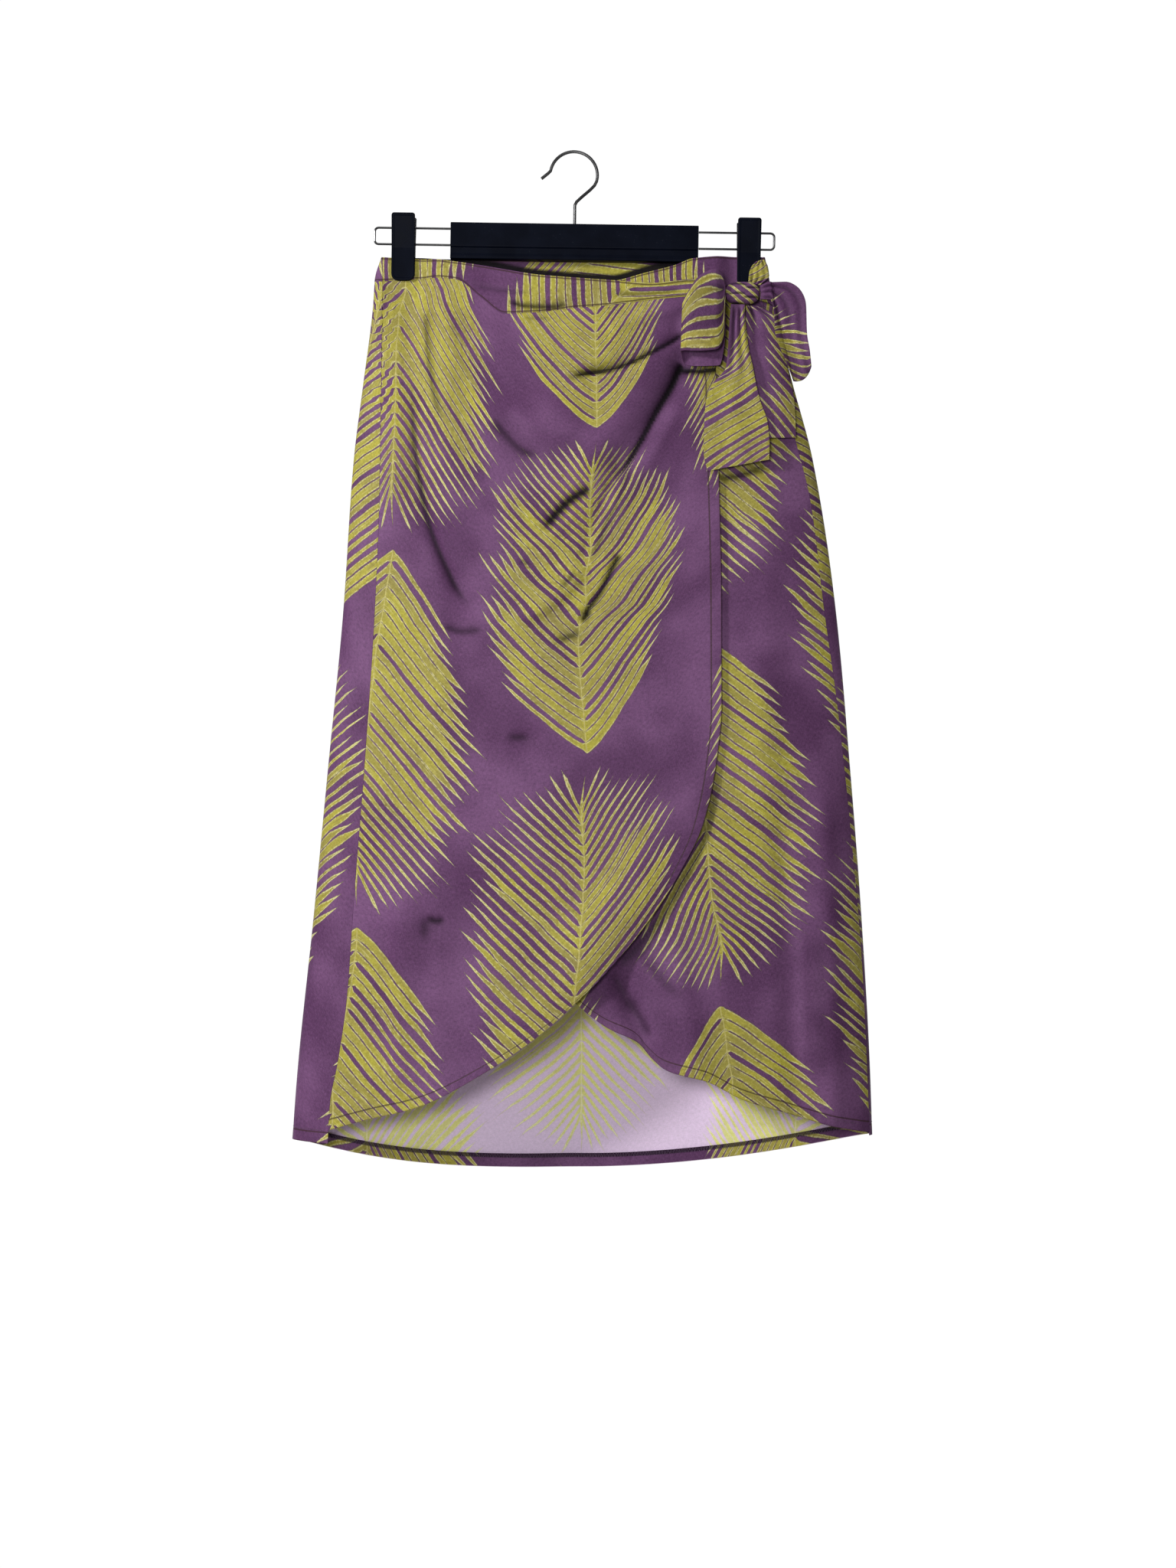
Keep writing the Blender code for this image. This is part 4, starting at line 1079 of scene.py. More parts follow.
def puckered(sewing, period, depth, width):
    # ripples beside a hem's stitching, with a period that drifts
    run = sewing[..., 0]
    away = sewing[..., 1]
    phase = run * 2 * math.pi / period + 1.3 * np.sin(run / 17.0) + 0.8 * np.sin(run / 7.3 + 2.0)
    return depth * np.sin(phase) * np.exp(-((away - cloth["hem"] * 0.6) / width) ** 2)


def wornPanel(name, turn, drop, liftOf, hemSides, uv, ripple=0.0, creases=()):
    x = tube(turn, drop)[..., 0]
    lift = liftOf(x, drop)
    first = tube(turn, drop, lift)
    sewing = edgeDistance(first, hemSides)
    if ripple:
        lift = lift + puckered(sewing, 11.0, ripple, 8.0)
    thick = cloth["wall"] + 0.35 * (1 - ease(sewing[..., 1], 9.0, 11.0))
    grid = tube(turn, drop, lift)
    shade = creaseShade(x, drop, creases)
    return shell(name, grid, thick, uv, sewing, [outsideCloth, insideCloth], shade), grid


panelRows, panelColumns = panelCells["overlap"]
overlapTurn, overlapDrop = frontPanel(overlapBand, overlapTop(panelColumns), leftSeam, overlapSide,
                                      overlapHem, panelRows, True)
overlapUv = gatheredPrint(printMap(overlapTurn, overlapDrop, overlapPrint, 1), overlapTurn, overlapDrop)
overlapUv = draggedPrint(overlapUv, overlapTurn, overlapDrop)
overlap, overlapGrid = wornPanel("overlap", overlapTurn, overlapDrop, overlapFine, ["right", "bottom"],
                                 overlapUv, 0.22, overlapCreases)
panelRows, panelColumns = panelCells["underlap"]
underlapTurn, underlapDrop = frontPanel(underlapBand, underlapTop(panelColumns), rightSeam, underlapSide,
                                        underlapHem, panelRows, False)
underlap, underlapGrid = wornPanel("underlap", underlapTurn, underlapDrop, underlapFine, ["left", "bottom"],
                                   printMap(underlapTurn, underlapDrop, underlapPrint), 0.3, underlapCreases)
backTurn, backDrop = backGrid(backLine("seam", 1), backHem, *panelCells["back"])
backUv = gatheredPrint(printMap(backTurn, backDrop, backPrint, 1, behind=True), backTurn, backDrop)
back, backGridPoints = wornPanel("back", backTurn, backDrop, backLift, ["bottom"], backUv, 0.15)

print("stage: waistbands and turned-up hem")


def band(name, turn, drop, liftOf, uv, innerShade=1.0, creases=()):
    x = tube(turn, drop)[..., 0]
    grid = tube(turn, drop, liftOf(x, drop) + creaseHeight(x, drop, creases))
    sewing = edgeDistance(grid, ["bottom", "top"])
    sewing[..., 1] = sewing[..., 1] + cloth["hem"] - 1.5
    shade = creaseShade(x, drop, creases)
    return shell(name, grid, 0.9, uv, sewing, [outsideCloth, outsideCloth], shade, innerShade)


bandTurn, bandDrop = frontBand(overlapBand, overlapTop(panelCells["band"][1]), panelCells["band"][0])
overlapWaist = band("overlapWaistband", bandTurn, bandDrop, overlapLift,
                    turnedMap(bandTurn, bandDrop, 48, -132, -200), 1.0, bandCreases)
bandTurn, bandDrop = frontBand(underlapBand, underlapTop(panelCells["band"][1]), panelCells["band"][0])
underlapWaist = band("underlapWaistband", bandTurn, bandDrop, underlapLift,
                     turnedMap(bandTurn, bandDrop, -40.5, 58, -298))
bandTurn, bandDrop = backGrid(backLine("top"), backLine("seam", -1), *panelCells["backBand"])
# painted shade: the back band's inside is darkened to near black in the gap between the front and back bands,
# as seen over the front band's edge from a little below
bandX = tube(bandTurn, bandDrop)[..., 0]
frontEdge = np.minimum(smooth(bandX, overlapBand["x"], overlapBand["top"]),
                       smooth(bandX, underlapBand["x"], underlapBand["top"]))
bandGapShade = 0.01 + 0.99 * ease(frontEdge - 5 - bandDrop, 4.5, 8.0)
backWaist = band("backWaistband", bandTurn, bandDrop, backLift, turnedMap(bandTurn, bandDrop, -48, -80, 130),
                 bandGapShade)


def turnUpBand():
    # the back hem folded up inside, so that its printed side faces inwards
    rows, columns = panelCells["turnUp"]
    hemTurn = backTurn[-1]
    hemDrop = backDrop[-1]
    height = cloth["turnUp"] - cloth["turnUpRise"]
    share = np.linspace(0, 1, rows + 1)[:, None]
    drop = hemDrop[None] - cloth["turnUpRise"] - height * (1 - share)
    turn = np.broadcast_to(hemTurn[None], drop.shape)
    lift = backLift(tube(turn, drop)[..., 0], drop) - 0.95
    grid = tube(turn, drop, lift)[:, 1:-1]
    # the print runs on past the fold and so comes back up turned over
    uv = printMap(turn, drop, backPrint, 1, behind=True)[:, 1:-1]
    uv = np.stack([uv[..., 0], 2 * uv[-1:, :, 1] - uv[..., 1] - 12], axis=-1)
    sewing = edgeDistance(grid, ["top"])
    # dense dark thread covers the overlocked edge
    overlocked = 0.22 + 0.78 * ease(sewing[..., 1], 3.4, 4.6)
    sewing[..., 1] = sewing[..., 1] + cloth["hem"] + 4
    piece = shell("turnUp", grid, 0.5, uv, sewing, [insideCloth, outsideCloth], 1.0, overlocked)
    return piece, grid


turnUp, turnUpGrid = turnUpBand()

print("stage: tie and bow")

leftLoop = table("ax adrop ao bx bdrop bo", [
    (140.4, 128, 16, 140.4, 142, 16), (137, 119, 18, 139, 176, 16), (130, 116, 21, 132, 191, 19),
    (117, 122, 22, 117, 193, 21), (106, 137, 20, 103, 192, 19), (100.5, 148, 15, 99, 192, 13),
    (105, 146, 9.5, 103, 203, 7), (118, 136, 7, 119, 205, 5), (131, 129, 7, 135, 204, 5),
    (138, 128, 8, 141, 168, 8), (140.4, 130, 10, 140.4, 141, 10),
])
rightLoop = table("ax adrop ao bx bdrop bo", [
    (173.6, 128, 16, 173.6, 141, 16), (184, 125, 18, 183, 142, 18), (197, 125, 20, 185.5, 149, 19),
    (209, 131, 22, 186.5, 159, 20), (216, 146, 22, 186.5, 170, 21), (217, 172, 21, 190, 183, 20),
    (220, 190, 19, 197, 199, 18), (221.5, 203, 14, 205, 216, 12), (219, 201, 9, 206, 210, 7),
    (213, 180, 7, 199, 186, 6), (208, 152, 7, 197, 166, 6), (196, 131, 8, 190, 150, 7),
    (184, 129, 9, 183, 144, 8), (173.6, 130, 10, 173.6, 141, 10),
])
longTail = table("ax adrop ao bx bdrop bo", [
    (146, 146, 15, 159, 146, 15), (144.5, 166, 14, 160, 166, 14.5), (143, 186, 12, 162, 186, 13),
    (141, 206, 9, 166, 206, 12), (127, 224, 7, 169, 222, 11), (122, 240, 6.5, 173, 238, 10),
    (120.5, 262, 6, 179.5, 256, 8.5), (120, 285, 6, 181.5, 276, 8), (123.5, 303.5, 6, 181, 292, 8),
])
shortTail = table("ax adrop ao bx bdrop bo", [
    (160.5, 146, 9, 171, 146, 9), (160, 158, 9, 187, 156, 10), (159, 178, 8, 193, 176, 9),
    (158, 208, 6, 200, 206, 6), (160, 240, 4.5, 206, 238, 4.5), (163, 272, 4.5, 207, 270, 4),
])
frontStrap = table("ax adrop ao bx bdrop bo", [
    (130.6, 123.2, 0, 130.6, 135.8, 0), (135, 125, 2, 135, 137, 2), (140.4, 127, 5, 140.4, 139, 5),
])
sideStrap = table("ax adrop ao bx bdrop bo", [
    (171, 103.5, 5, 178, 101.5, 4), (166, 109, 7, 181.5, 107.5, 5), (163.5, 116, 9, 182.5, 117, 7),
    (163, 124.3, 11, 174, 126.5, 10),
])
tieShape = {
    "wall": 0.6,
    "leftLoop": {"cells": (90, 36), "gathers": 2.5, "deep": 1.1, "print": (-112, -195, 49.5), "knotShade": 0.5,
                 "spread": 0.85, "plain": (0.52, -150, -175)},
    "rightLoop": {"cells": (100, 30), "gathers": 3, "deep": 1.2, "print": (90, -330, 25), "knotShade": 0.6,
                  "rounded": (0.54, 4.5)},
    "longTail": {"cells": (110, 40), "gathers": 2.5, "deep": 1.6, "print": (100, 262, 22.5), "knotShade": 0.7},
    "shortTail": {"cells": (90, 30), "gathers": 2, "deep": 1.3, "print": (-130, -270, 8), "knotShade": 0.7},
    "frontStrap": {"cells": (14, 16), "gathers": 3, "deep": 0.4, "print": (0, 10, 60), "knotShade": 0.5},
    "sideStrap": {"cells": (40, 26), "gathers": 3.5, "deep": 1.1, "print": (40, -200, 20), "knotShade": 0.8},
}


def tieGrid(stations, shape, ends):
    # middle points of a stretch of the tie; gathers are deep at the knot and fade away from it
    rows, columns = shape["cells"]
    knots = np.arange(len(stations["ax"]), dtype=float)
    at = np.linspace(0, knots[-1], rows + 1)
    line = {name: smooth(at, knots, values) for name, values in stations.items()}
    share = np.linspace(0, 1, columns + 1)[None, :]
    x = line["ax"][:, None] * (1 - share) + line["bx"][:, None] * share
    drop = line["adrop"][:, None] * (1 - share) + line["bdrop"][:, None] * share
    out = line["ao"][:, None] * (1 - share) + line["bo"][:, None] * share
    run = np.linspace(0, 1, rows + 1)[:, None]
    if "rounded" in shape:
        # the loop's turned end swells between its two edges
        place, swell = shape["rounded"]
        swell = swell * 4 * share * (1 - share) * np.exp(-((run - place) / 0.09) ** 2)
        drop = drop + swell
        x = x + 0.45 * swell
    nearKnot = np.exp(-(run / 0.3) ** 2)
    if ends == 2:
        nearKnot = nearKnot + np.exp(-((1 - run) / 0.3) ** 2)
    wave = np.sin(2 * math.pi * shape["gathers"] * share + 1.1 * np.sin(3.1 * run + share * 2))
    clear = ease(run, 0, 0.05) * ease(1 - run, 0, 0.05 if ends == 2 else 0.0001)
    out = out + shape["deep"] * (0.25 + 0.75 * nearKnot) * wave * clear
    grid = np.stack([x, -(outside(x, drop) + out), -drop], axis=-1)
    steps = np.linalg.norm(np.diff(grid.mean(axis=1), axis=0), axis=-1)
    length = np.concatenate([[0], np.cumsum(steps)])[:, None]
    width = np.linalg.norm(grid[:, -1] - grid[:, 0], axis=-1)[:, None].mean()
    u0, v0, degrees = shape["print"]
    across = share * width * shape.get("spread", 1.3) + 0 * length
    down = length + 0 * across
    uv = turnedUv(across, down, degrees, u0, v0)
    if "plain" in shape:
        # past this share of its run the tie shows bare ground
        share0, plainU, plainV = shape["plain"]
        first = int(share0 * rows)
        bare = np.stack([across - 20 + plainU, down - down[first] + plainV], axis=-1)
        uv[first:] = bare[first:]
    # painted shade in the bottoms of the gathers near the knot, on both faces of the tie
    shade = 1 - shape["knotShade"] * nearKnot.clip(0, 1) * (1 - ease(wave, -1.0, -0.1)) * clear
    return grid, uv, shade


def tiePiece(name, stations, ends=1, hems=("left", "right")):
    # the tie is a tube of cloth sewn flat, so the print shows on both its faces
    grid, uv, shade = tieGrid(stations, tieShape[name], ends)
    sewing = edgeDistance(grid, list(hems))
    sewing[..., 1] = sewing[..., 1] + cloth["hem"] + 0.7
    return shell(name, grid, tieShape["wall"], uv, sewing, [outsideCloth, outsideCloth], shade, shade)


leftLoopPiece = tiePiece("leftLoop", leftLoop, 2)
rightLoopPiece = tiePiece("rightLoop", rightLoop, 2)
longTailPiece = tiePiece("longTail", longTail, 1, ("left", "right", "bottom"))
shortTailPiece = tiePiece("shortTail", shortTail, 1, ("left", "right", "bottom"))
frontStrapPiece = tiePiece("frontStrap", frontStrap, 2)
sideStrapPiece = tiePiece("sideStrap", sideStrap, 2)

knotShape = {
    "x": 157.0,
    "drop": 135.0,
    "out": 13.0,
    "size": (32.0, 18.0, 21.0),
    "cells": (72, 110),
    "gathers": 0.05,
}


def knotPiece():
    # the wrap of cloth round the bow, its gathers running across it
    width, depth, height = knotShape["size"]
    rows, columns = knotShape["cells"]
    centreY = -(float(outside(np.array(knotShape["x"]), np.array(knotShape["drop"]))) + knotShape["out"])
    polar = np.linspace(0.0, math.pi, rows + 1)[:, None]
    around = np.linspace(0, 2 * math.pi, columns, endpoint=False)[None, :]
    ball = np.stack([np.cos(polar) + 0 * around, np.sin(polar) * np.cos(around),
                     np.sin(polar) * np.sin(around)])
    x, y, z = ball / (np.abs(ball[0]) ** 3.0 + np.abs(ball[1]) ** 2.4 + np.abs(ball[2]) ** 2.4) ** (1 / 2.7)
    dips = np.sin(7 * z + 2.2 * x + 0.6 * np.sin(5 * x)) + 0.5 * np.sin(15 * z - 1.5 * x)
    swell = 1 + knotShape["gathers"] * dips * np.sin(polar)
    y = np.where(y < 0, y * swell, y)
    points = np.stack([knotShape["x"] + x * width / 2, centreY + y * depth / 2,
                       -knotShape["drop"] + z * height / 2], axis=-1)
    ring = np.arange((rows - 1) * columns).reshape(rows - 1, columns)
    body = points[1:-1].reshape(-1, 3)
    body = np.concatenate([body, points[0, :1], points[-1, :1]])
    beside = np.roll(ring, -1, axis=1)
    faces = np.stack([ring[:-1], beside[:-1], beside[1:], ring[1:]], axis=-1).reshape(-1, 4).tolist()
    pole = ring.size
    for k in range(columns):
        faces.append([int(beside[0, k]), int(ring[0, k]), pole])
        faces.append([int(ring[-1, k]), int(beside[-1, k]), pole + 1])
    uv = np.stack([body[:, 0] * 0.8 + 30, body[:, 2] * 1.4 - 60], axis=-1) * mm
    sewing = np.stack([body[:, 0], np.full(len(body), 60.0)], axis=-1) * mm
    # light hardly reaches the bottoms of the gathers or the knot's back
    sunk = np.concatenate([(dips * np.sin(polar))[1:-1].ravel(), [0, 0]])
    shade = 1 - 0.75 * (1 - ease(sunk, -1.1, -0.2))
    maps = {"print": uv, "sewing": sewing}
    piece = meshFrom("knot", body * mm, faces, [outsideCloth], None, maps, shade)
    work = bmesh.new()
    work.from_mesh(piece.data)
    bmesh.ops.recalc_face_normals(work, faces=work.faces)
    work.to_mesh(piece.data)
    work.free()
    return piece


knot = knotPiece()

print("stage: stitching")

stitchSize = {
    "spacing": 2.7,
    "length": 1.9,
    "thread": 0.14,
    "height": 0.22,
    "seed": 7,
}
hemLine = {
    "lift": 0.3,              # off the cloth's middle surface
    "overlap": 10.0,          # in from the edge
    "underlap": 7.0,
    "back": 12.0,
    "turnUp": 1.9,
}


def threadMaterial(name, colour, light):
    material, shader, start = finished(name, 0.6, 0.2)
    twist = noise(start, objectPlace(start), 900.0, 2.0, 0.6)
    connect(twist.eased(0.3, 0.7).colour(colour, light), shader, "Base Color")
    bumped(shader, twist, 0.4)
    return material


hemThread = threadMaterial("hem thread", (0.040, 0.022, 0.030), (0.085, 0.050, 0.062))
overlockThread = threadMaterial("overlock thread", (0.050, 0.025, 0.060), (0.110, 0.060, 0.120))


def stitchTree():
    # rides along each line of the mesh it is given and puts one raised stitch at every step
    tree = bpy.data.node_groups.new("Stitches along lines", "GeometryNodeTree")
    kinds = {"Lines": "Geometry", "Spacing": "Float", "Length": "Float", "Thread": "Float",
             "Height": "Float", "Turn": "Float", "Wander": "Float", "Seed": "Int", "Material": "Material"}
    for name, kind in kinds.items():
        tree.interface.new_socket(name=name, in_out="INPUT", socket_type="NodeSocket" + kind)
    tree.interface.new_socket(name="Stitches", in_out="OUTPUT", socket_type="NodeSocketGeometry")
    outputs = tree.nodes.new("NodeGroupInput").outputs
    given = {name: Value(tree, outputs[name]) for name in kinds}
    start = Value(tree)
    lines = start.node("GeometryNodeMeshToCurve", {}, {0: given["Lines"]})
    steps = {"Curve": lines, "Length": given["Spacing"]}
    even = start.node("GeometryNodeResampleCurve", {"mode": "LENGTH"}, steps)
    arch = {"Resolution": 5, "Start": joinVector(start, given["Length"] * -0.5, 0.0),
            "Middle": joinVector(start, 0.0, 0.0, given["Height"] * 2.0),
            "End": joinVector(start, given["Length"] * 0.5, 0.0)}
    bow = start.node("GeometryNodeCurveQuadraticBezier", {}, arch)
    ring = start.node("GeometryNodeCurvePrimitiveCircle", {}, {"Resolution": 5, "Radius": given["Thread"]})
    wound = {"Curve": bow, "Profile Curve": ring, "Fill Caps": True}
    thread = start.node("GeometryNodeCurveToMesh", {}, wound)
    tangent = start.node("GeometryNodeInputTangent", {}, {})
    out = start.node("GeometryNodeInputNamedAttribute", {"data_type": "FLOAT_VECTOR"}, {"Name": "faceOut"})
    followed = start.node("FunctionNodeAlignRotationToVector", {"axis": "X"}, {"Vector": tangent})
    upright = start.node("FunctionNodeAlignRotationToVector", {"axis": "Z", "pivot_axis": "X"},
                         {"Rotation": followed, "Vector": out})
    chance = start.node("FunctionNodeRandomValue", {"data_type": "FLOAT"},
                        {2: -1.0, 3: 1.0, "Seed": given["Seed"]}, 1)
    turned = given["Turn"] + given["Wander"] * chance
    spin = start.node("FunctionNodeEulerToRotation", {}, {0: joinVector(start, 0.0, 0.0, turned)})
    aimed = start.node("FunctionNodeRotateRotation", {"rotation_space": "LOCAL"}, {0: upright, 1: spin})
    rows = {"Points": even, "Instance": thread, "Rotation": aimed}
    placed = start.node("GeometryNodeInstanceOnPoints", {}, rows)
    real = start.node("GeometryNodeRealizeInstances", {}, {0: placed})
    painted = start.node("GeometryNodeSetMaterial", {}, {"Geometry": real, "Material": given["Material"]})
    tree.links.new(painted.socket, tree.nodes.new("NodeGroupOutput").inputs[0])
    return tree


stitches = stitchTree()


def sewn(name, lines, material, turn=0.0, wander=0.08, **changes):
    # lines are (points, directions out of the cloth), both in millimetres
    size = {**stitchSize, **changes}
    points = np.concatenate([line[0] for line in lines]) * mm
    out = np.concatenate([line[1] for line in lines])
    edges = []
    start = 0
    for line in lines:
        count = len(line[0])
        edges += [(start + i, start + i + 1) for i in range(count - 1)]
        start += count
    mesh = bpy.data.meshes.new(name)
    mesh.from_pydata(points.tolist(), edges, [])
    attribute = mesh.attributes.new("faceOut", "FLOAT_VECTOR", "POINT")
    attribute.data.foreach_set("vector", np.ascontiguousarray(out, dtype=np.float32).ravel())
    obj = bpy.data.objects.new(name, mesh)
    bpy.context.scene.collection.objects.link(obj)
    modifier = obj.modifiers.new("Stitches", "NODES")
    modifier.node_group = stitches
    values = {"Spacing": size["spacing"] * mm, "Length": size["length"] * mm, "Thread": size["thread"] * mm,
              "Height": size["height"] * mm, "Turn": turn, "Wander": wander, "Seed": size["seed"],
              "Material": material}
    for item in stitches.interface.items_tree:
        if item.name in values:
            modifier[item.identifier] = values[item.name]
    evaluated = obj.evaluated_get(bpy.context.evaluated_depsgraph_get())
    plain = bpy.data.meshes.new_from_object(evaluated)
    obj.modifiers.clear()
    obj.data = plain
    if "faceOut" in plain.attributes:
        plain.attributes.remove(plain.attributes["faceOut"])
    plain.shade_smooth()
    return obj


def gridLine(grid, side, inward, lift, trim):
    # a line on a grid of cloth, a distance in from one side, raised off its face
    fields = np.concatenate([edgeDistance(grid, [side])[..., 1:], grid, normals(grid)], axis=-1)
    if side in ("top", "bottom"):
        fields = np.swapaxes(fields, 0, 1)
    if side in ("right", "bottom"):
        fields = fields[:, ::-1]
    found = []
    for row in fields[trim:-trim]:
        found.append([np.interp(inward, row[:, 0], row[:, i]) for i in range(1, 7)])
    found = np.array(found)
    return found[:, :3] + lift * found[:, 3:], found[:, 3:]


def hemLines(grid, name, sides, trim):
    return [gridLine(grid, side, hemLine[name], hemLine["lift"], trim) for side in sides]


overlapStitches = sewn("overlapStitches", hemLines(overlapGrid, "overlap", ("right", "bottom"), 4),
                       hemThread)
underlapStitches = sewn("underlapStitches", hemLines(underlapGrid, "underlap", ("bottom", "left"), 4),
                        hemThread)
backStitches = sewn("backStitches", hemLines(backGridPoints, "back", ("bottom",), 2), hemThread)
overlockPoints, overlockOut = gridLine(turnUpGrid, "top", hemLine["turnUp"], -hemLine["lift"], 1)
overlockStitches = sewn("overlockStitches", [(overlockPoints, -overlockOut)], overlockThread,
                        math.pi / 2, 0.35, spacing=1.5, length=4.4, thread=0.17, height=0.3)

print("stage: hanger")


def plasticMaterial():
    material, shader, start = finished("hanger plastic", 0.42, specular=0.03)
    place = objectPlace(start)
    cloud = noise(start, place, 40.0, 3.0, 0.55)
    grain = noise(start, place, 1400.0, 2.0, 0.6)
    specks = start.node("ShaderNodeTexVoronoi", {"feature": "F1"}, {"Vector": place, "Scale": 420.0}, 0)
    lint = (1 - specks.eased(0.0, 0.11)) * cloud.eased(0.5, 0.62)
    colour = cloud.eased(0.3, 0.7).colour((0.0018, 0.0026, 0.0062), (0.0030, 0.0042, 0.0095))
    connect((lint * 0.5).colour(colour, (0.20, 0.21, 0.24)), shader, "Base Color")
    connect(0.36 + 0.16 * cloud + 0.25 * lint, shader, "Roughness")
    bumped(shader, grain, 0.12)
    return material


def steelMaterial():
    material, shader, start = finished("hanger wire", 0.25, 0.0, 1.0)
    place = objectPlace(start)
    drawn = noise(start, place, 260.0, 3.0, 0.6)
    cloud = noise(start, place, 30.0)
    connect(cloud.eased(0.3, 0.7).colour((0.07, 0.07, 0.075), (0.14, 0.14, 0.14)), shader, "Base Color")
    connect(0.18 + 0.22 * drawn, shader, "Roughness")
    bumped(shader, drawn, 0.15)
    return material


plastic = plasticMaterial()
steel = steelMaterial()
madeOf = {
    "hanger_bar": plastic,
    "hanger_hook": steel,
    "hanger_wire_left": steel,
    "hanger_wire_right": steel,
    "clip_left_back": plastic,
    "clip_left_core": plastic,
    "clip_right_back": plastic,
    "clip_right_core": plastic,
}
for nodeName, material in madeOf.items():
    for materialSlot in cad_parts[nodeName].material_slots:
        materialSlot.material = material

jawShape = {
    "thick": 3.6,
    "grip": 2.5,              # inner face of a jaw from the middle plane
    "spread": math.radians(12),
    "topRadius": 2.5,
    "bottomRadius": 6.7,
    "edge": 0.9,              # rounding of the edges
    "border": 2.6,            # width of the raised border
    "sunk": 0.35,
    "cells": (90, 44),
}


def frontJaw(side, clipX):
    # the moulded front jaw of a clip: rounded corners and a border that stands a little proud
    shape = jawShape
    rows, columns = shape["cells"]
    top = hangerShape["barTop"] + hangerShape["loopDrop"] - hangerShape["clipAbove"]
    length = hangerShape["clipLength"]
    halfWidth = hangerShape["clipWidth"] / 2
    down = (1 - np.cos(np.linspace(0, math.pi, rows + 1)))[:, None] / 2 * length
    width = halfWidth + 0 * down
    for radius, near in ((shape["topRadius"], down), (shape["bottomRadius"], length - down)):
        inCorner = np.clip(radius - near, 0, radius)
        width = width - radius + np.sqrt(radius ** 2 - inCorner ** 2)
    share = np.sin(np.linspace(-math.pi / 2, math.pi / 2, columns + 1))[None, :]
    x = width * share
    fromEdge = np.minimum(width - np.abs(x), np.minimum(down, length - down) + 0 * x)
    rounding = np.clip(1 - fromEdge / shape["edge"], 0, 1)
    thick = shape["thick"] - 2 * shape["edge"] * (1 - np.sqrt(1 - rounding ** 2)) * 0.8
    thick = thick - shape["sunk"] * ease(fromEdge, shape["border"] - 0.5, shape["border"])
    opened = np.maximum(0, length / 2 - down) * math.tan(shape["spread"])
    y = -(shape["grip"] + opened + shape["thick"] / 2) + 0 * x
    c = math.cos(hangerShape["tilt"])
    s = math.sin(hangerShape["tilt"])
    z = -(top + down) + 0 * x
    grid = np.stack([(x + clipX) * c + z * s, y, z * c - (x + clipX) * s], axis=-1)
    blank = np.zeros((*grid.shape[:2], 2))
    piece = shell("clipJaw" + side, grid, thick, blank, blank, [plastic, plastic])
    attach(piece, "root")
    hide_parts("clip_" + side.lower() + "_front")


for jawSide, jawX in zip(("Left", "Right"), hangerShape["clipAt"]):
    frontJaw(jawSide, jawX)

print("stage: floor, light and camera")

studio = {
    "floor": -1.50,
    "floorDepth": 0.5,
    "room": 0.12,
    "key": 26.0,
    "rake": 42.0,
    "fill": 2.5,
    "overhead": 7.0,
    "camera": (0.013, -2.4, -0.593),
    "lens": 58.6,
}


def softLight(name, place, aim, size, power):
    data = bpy.data.lights.new(name, "AREA")
    data.shape = "DISK"
    data.size = size
    data.energy = power
    light = bpy.data.objects.new(name, data)
    light.location = place
    # the angles that point its -Z along the direction
    direction = np.array(aim) - np.array(place)
    x, y, z = direction / np.linalg.norm(direction)
    light.rotation_euler = (math.acos(-z), 0.0, math.atan2(-x, y))
    bpy.context.scene.collection.objects.link(light)


def paleFloor():
    material, shader, start = finished("pale floor", 0.8)
    cloud = noise(start, objectPlace(start), 3.0)
    connect(cloud.colour((0.97, 0.97, 0.97), (0.99, 0.99, 0.99)), shader, "Base Color")
    z = studio["floor"]
    y = studio["floorDepth"]
    points = np.array([(-1.6, -y, z), (1.6, -y, z), (1.6, y, z), (-1.6, y, z)])
    floor = meshFrom("floor", points, [(0, 1, 2, 3)], [material])
    floor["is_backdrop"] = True


paleFloor()
world = bpy.data.worlds.new("studio")
bpy.context.scene.world = world
world.use_nodes = True
# a white wall behind the hanger and a dimmer room in front of it
sky = Value(world.node_tree)
skySide = splitVector(sky, sky.node("ShaderNodeTexCoord", {}, {}, 0))[1]
room = studio["room"]
wall = skySide.eased(0.45, 0.75).colour((room, room, room), (1.02, 1.02, 1.02))
world.node_tree.links.new(wall.socket, world.node_tree.nodes["Background"].inputs["Color"])
softLight("key light", (-0.35, -2.45, -0.35), (0.0, 0.0, -0.55), 0.5, studio["key"])
softLight("raking light", (-1.8, -1.5, 0.35), (0.0, 0.0, -0.5), 0.35, studio["rake"])
softLight("fill light", (1.6, -1.9, 0.0), (0.0, 0.0, -0.5), 1.6, studio["fill"])
softLight("overhead light", (0.0, -0.6, 1.4), (0.0, 0.0, -0.9), 1.8, studio["overhead"])
bpy.context.scene.view_settings.view_transform = "Standard"
cameraData = bpy.data.cameras.new("camera")
cameraData.sensor_fit = "VERTICAL"
cameraData.sensor_height = 36.0
cameraData.lens = studio["lens"]
camera = bpy.data.objects.new("camera", cameraData)
camera.location = studio["camera"]
camera.rotation_euler = (math.radians(90), 0.0, 0.0)
bpy.context.scene.collection.objects.link(camera)
bpy.context.scene.camera = camera

print("stage: what each piece stands for")

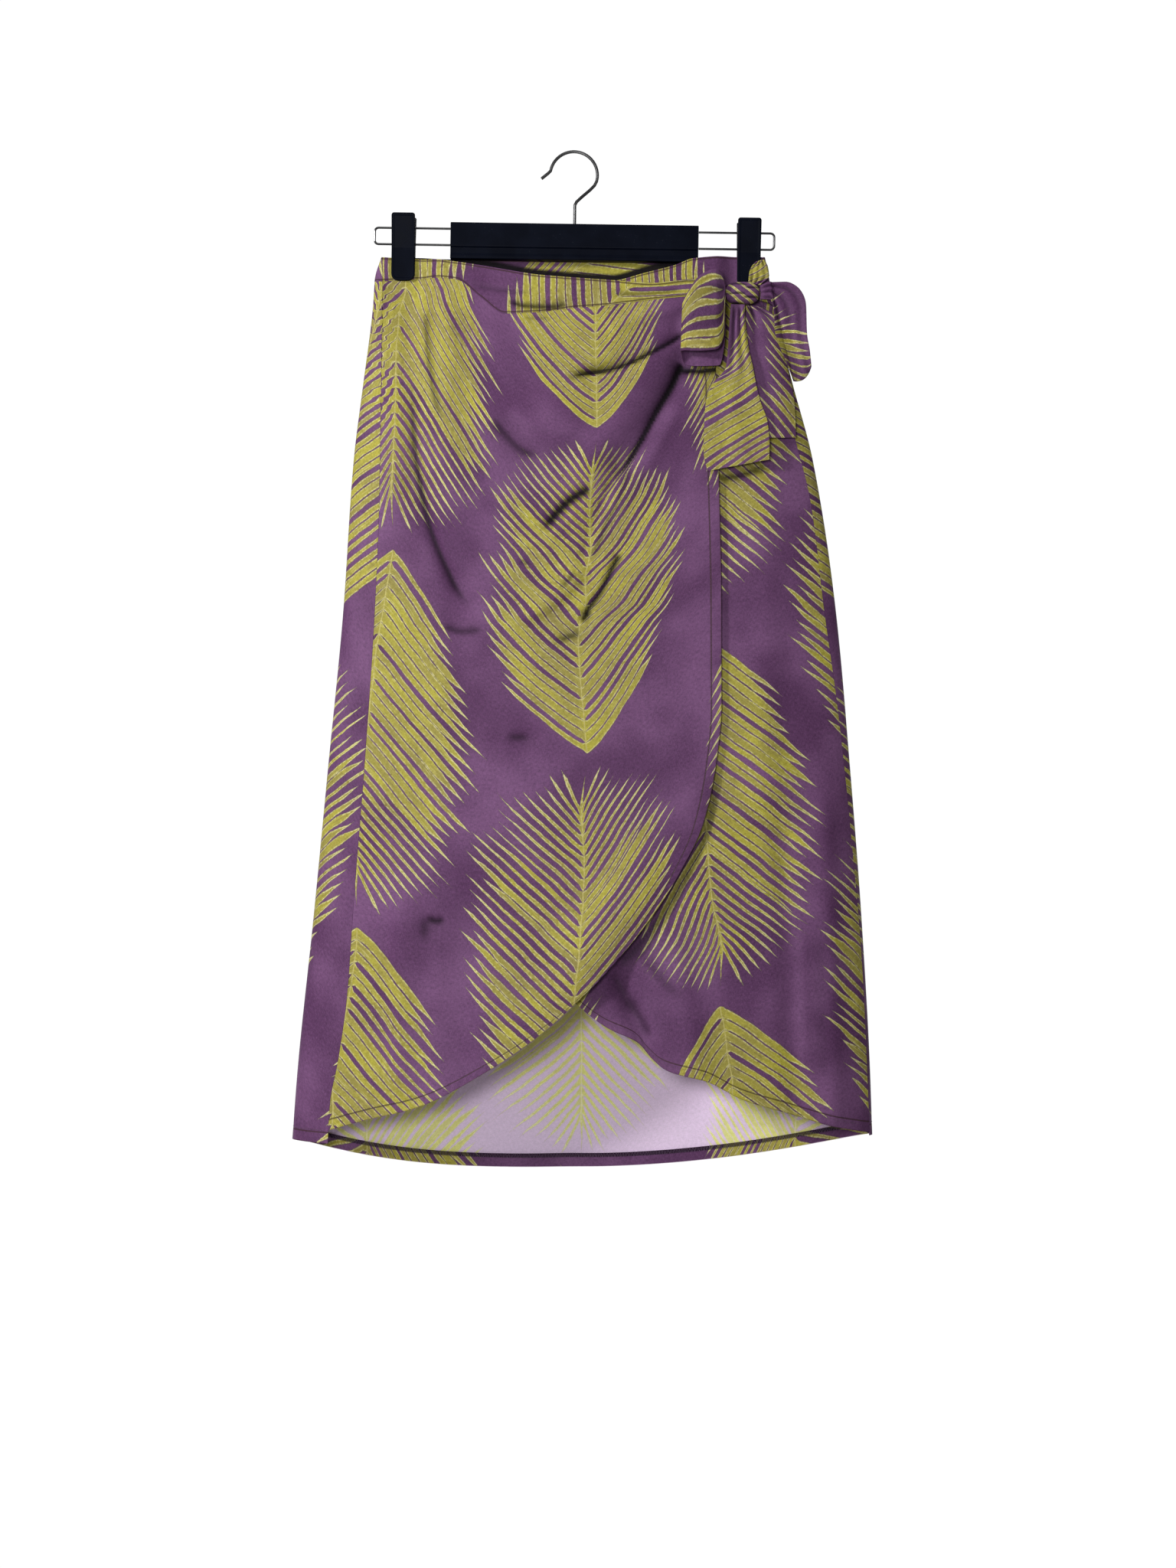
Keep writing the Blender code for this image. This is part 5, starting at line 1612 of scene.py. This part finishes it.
sheets = [
    # piece, nodes it stands for, slot, flat size in metres, area, what it hangs from, pieces on it
    (overlap, ["front_overlap"], "printed_cloth", (0.38, 0.83), 0.24,
     ["overlapWaistband"], [overlapStitches]),
    (underlap, ["front_underlap"], "printed_cloth", (0.42, 0.83), 0.25,
     ["underlapWaistband"], [underlapStitches]),
    (back, ["back_panel_" + part for part in ("upper_left", "upper_right", "lower_left", "lower_right")],
     "printed_cloth", (0.60, 0.84), 0.42, ["backWaistband"], [backStitches]),
    (overlapWaist, ["waistband_overlap"], "printed_cloth", (0.32, 0.031), None, ["clip_left_front"], []),
    (underlapWaist, ["waistband_underlap"], "printed_cloth", (0.31, 0.035), None, ["clip_right_front"], []),
    (backWaist, ["waistband_back"], "printed_cloth", (0.37, 0.03), None, ["clip_left_back"], []),
    (turnUp, ["hem_turn_up"], "printed_cloth", (0.60, 0.0135), None, ["back"], [overlockStitches]),
    (leftLoopPiece, ["tie_loop_left"], "tie_cloth", (0.10, 0.06), None, ["knot"], []),
    (rightLoopPiece, ["tie_loop_right"], "tie_cloth", (0.16, 0.028), None, ["knot"], []),
    (longTailPiece, ["tie_tail_long"], "tie_cloth", (0.05, 0.16), None, ["knot"], []),
    (shortTailPiece, ["tie_tail_short"], "tie_cloth", (0.04, 0.13), None, ["knot"], []),
    (frontStrapPiece, ["tie_strap_front"], "tie_cloth", (0.013, 0.012), None, ["overlapWaistband"], []),
    (sideStrapPiece, ["tie_strap_side"], "tie_cloth", (0.016, 0.028), None, ["underlapWaistband"], []),
    (knot, ["tie_knot"], "tie_cloth", (0.03, 0.045), None, ["overlap"], []),
]
for piece, nodes, slotName, flat, area, hangsFrom, onIt in sheets:
    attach(piece, "root")
    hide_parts(*nodes)
for piece, nodes, slotName, flat, area, hangsFrom, onIt in sheets:
    for extra in onIt:
        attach(extra, "root")
    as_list(hangsFrom)
    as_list(onIt)

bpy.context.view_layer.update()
total = 0
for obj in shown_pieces():
    if obj.type == "MESH":
        obj.data.calc_loop_triangles()
        total += len(obj.data.loop_triangles)
print("triangles", total)
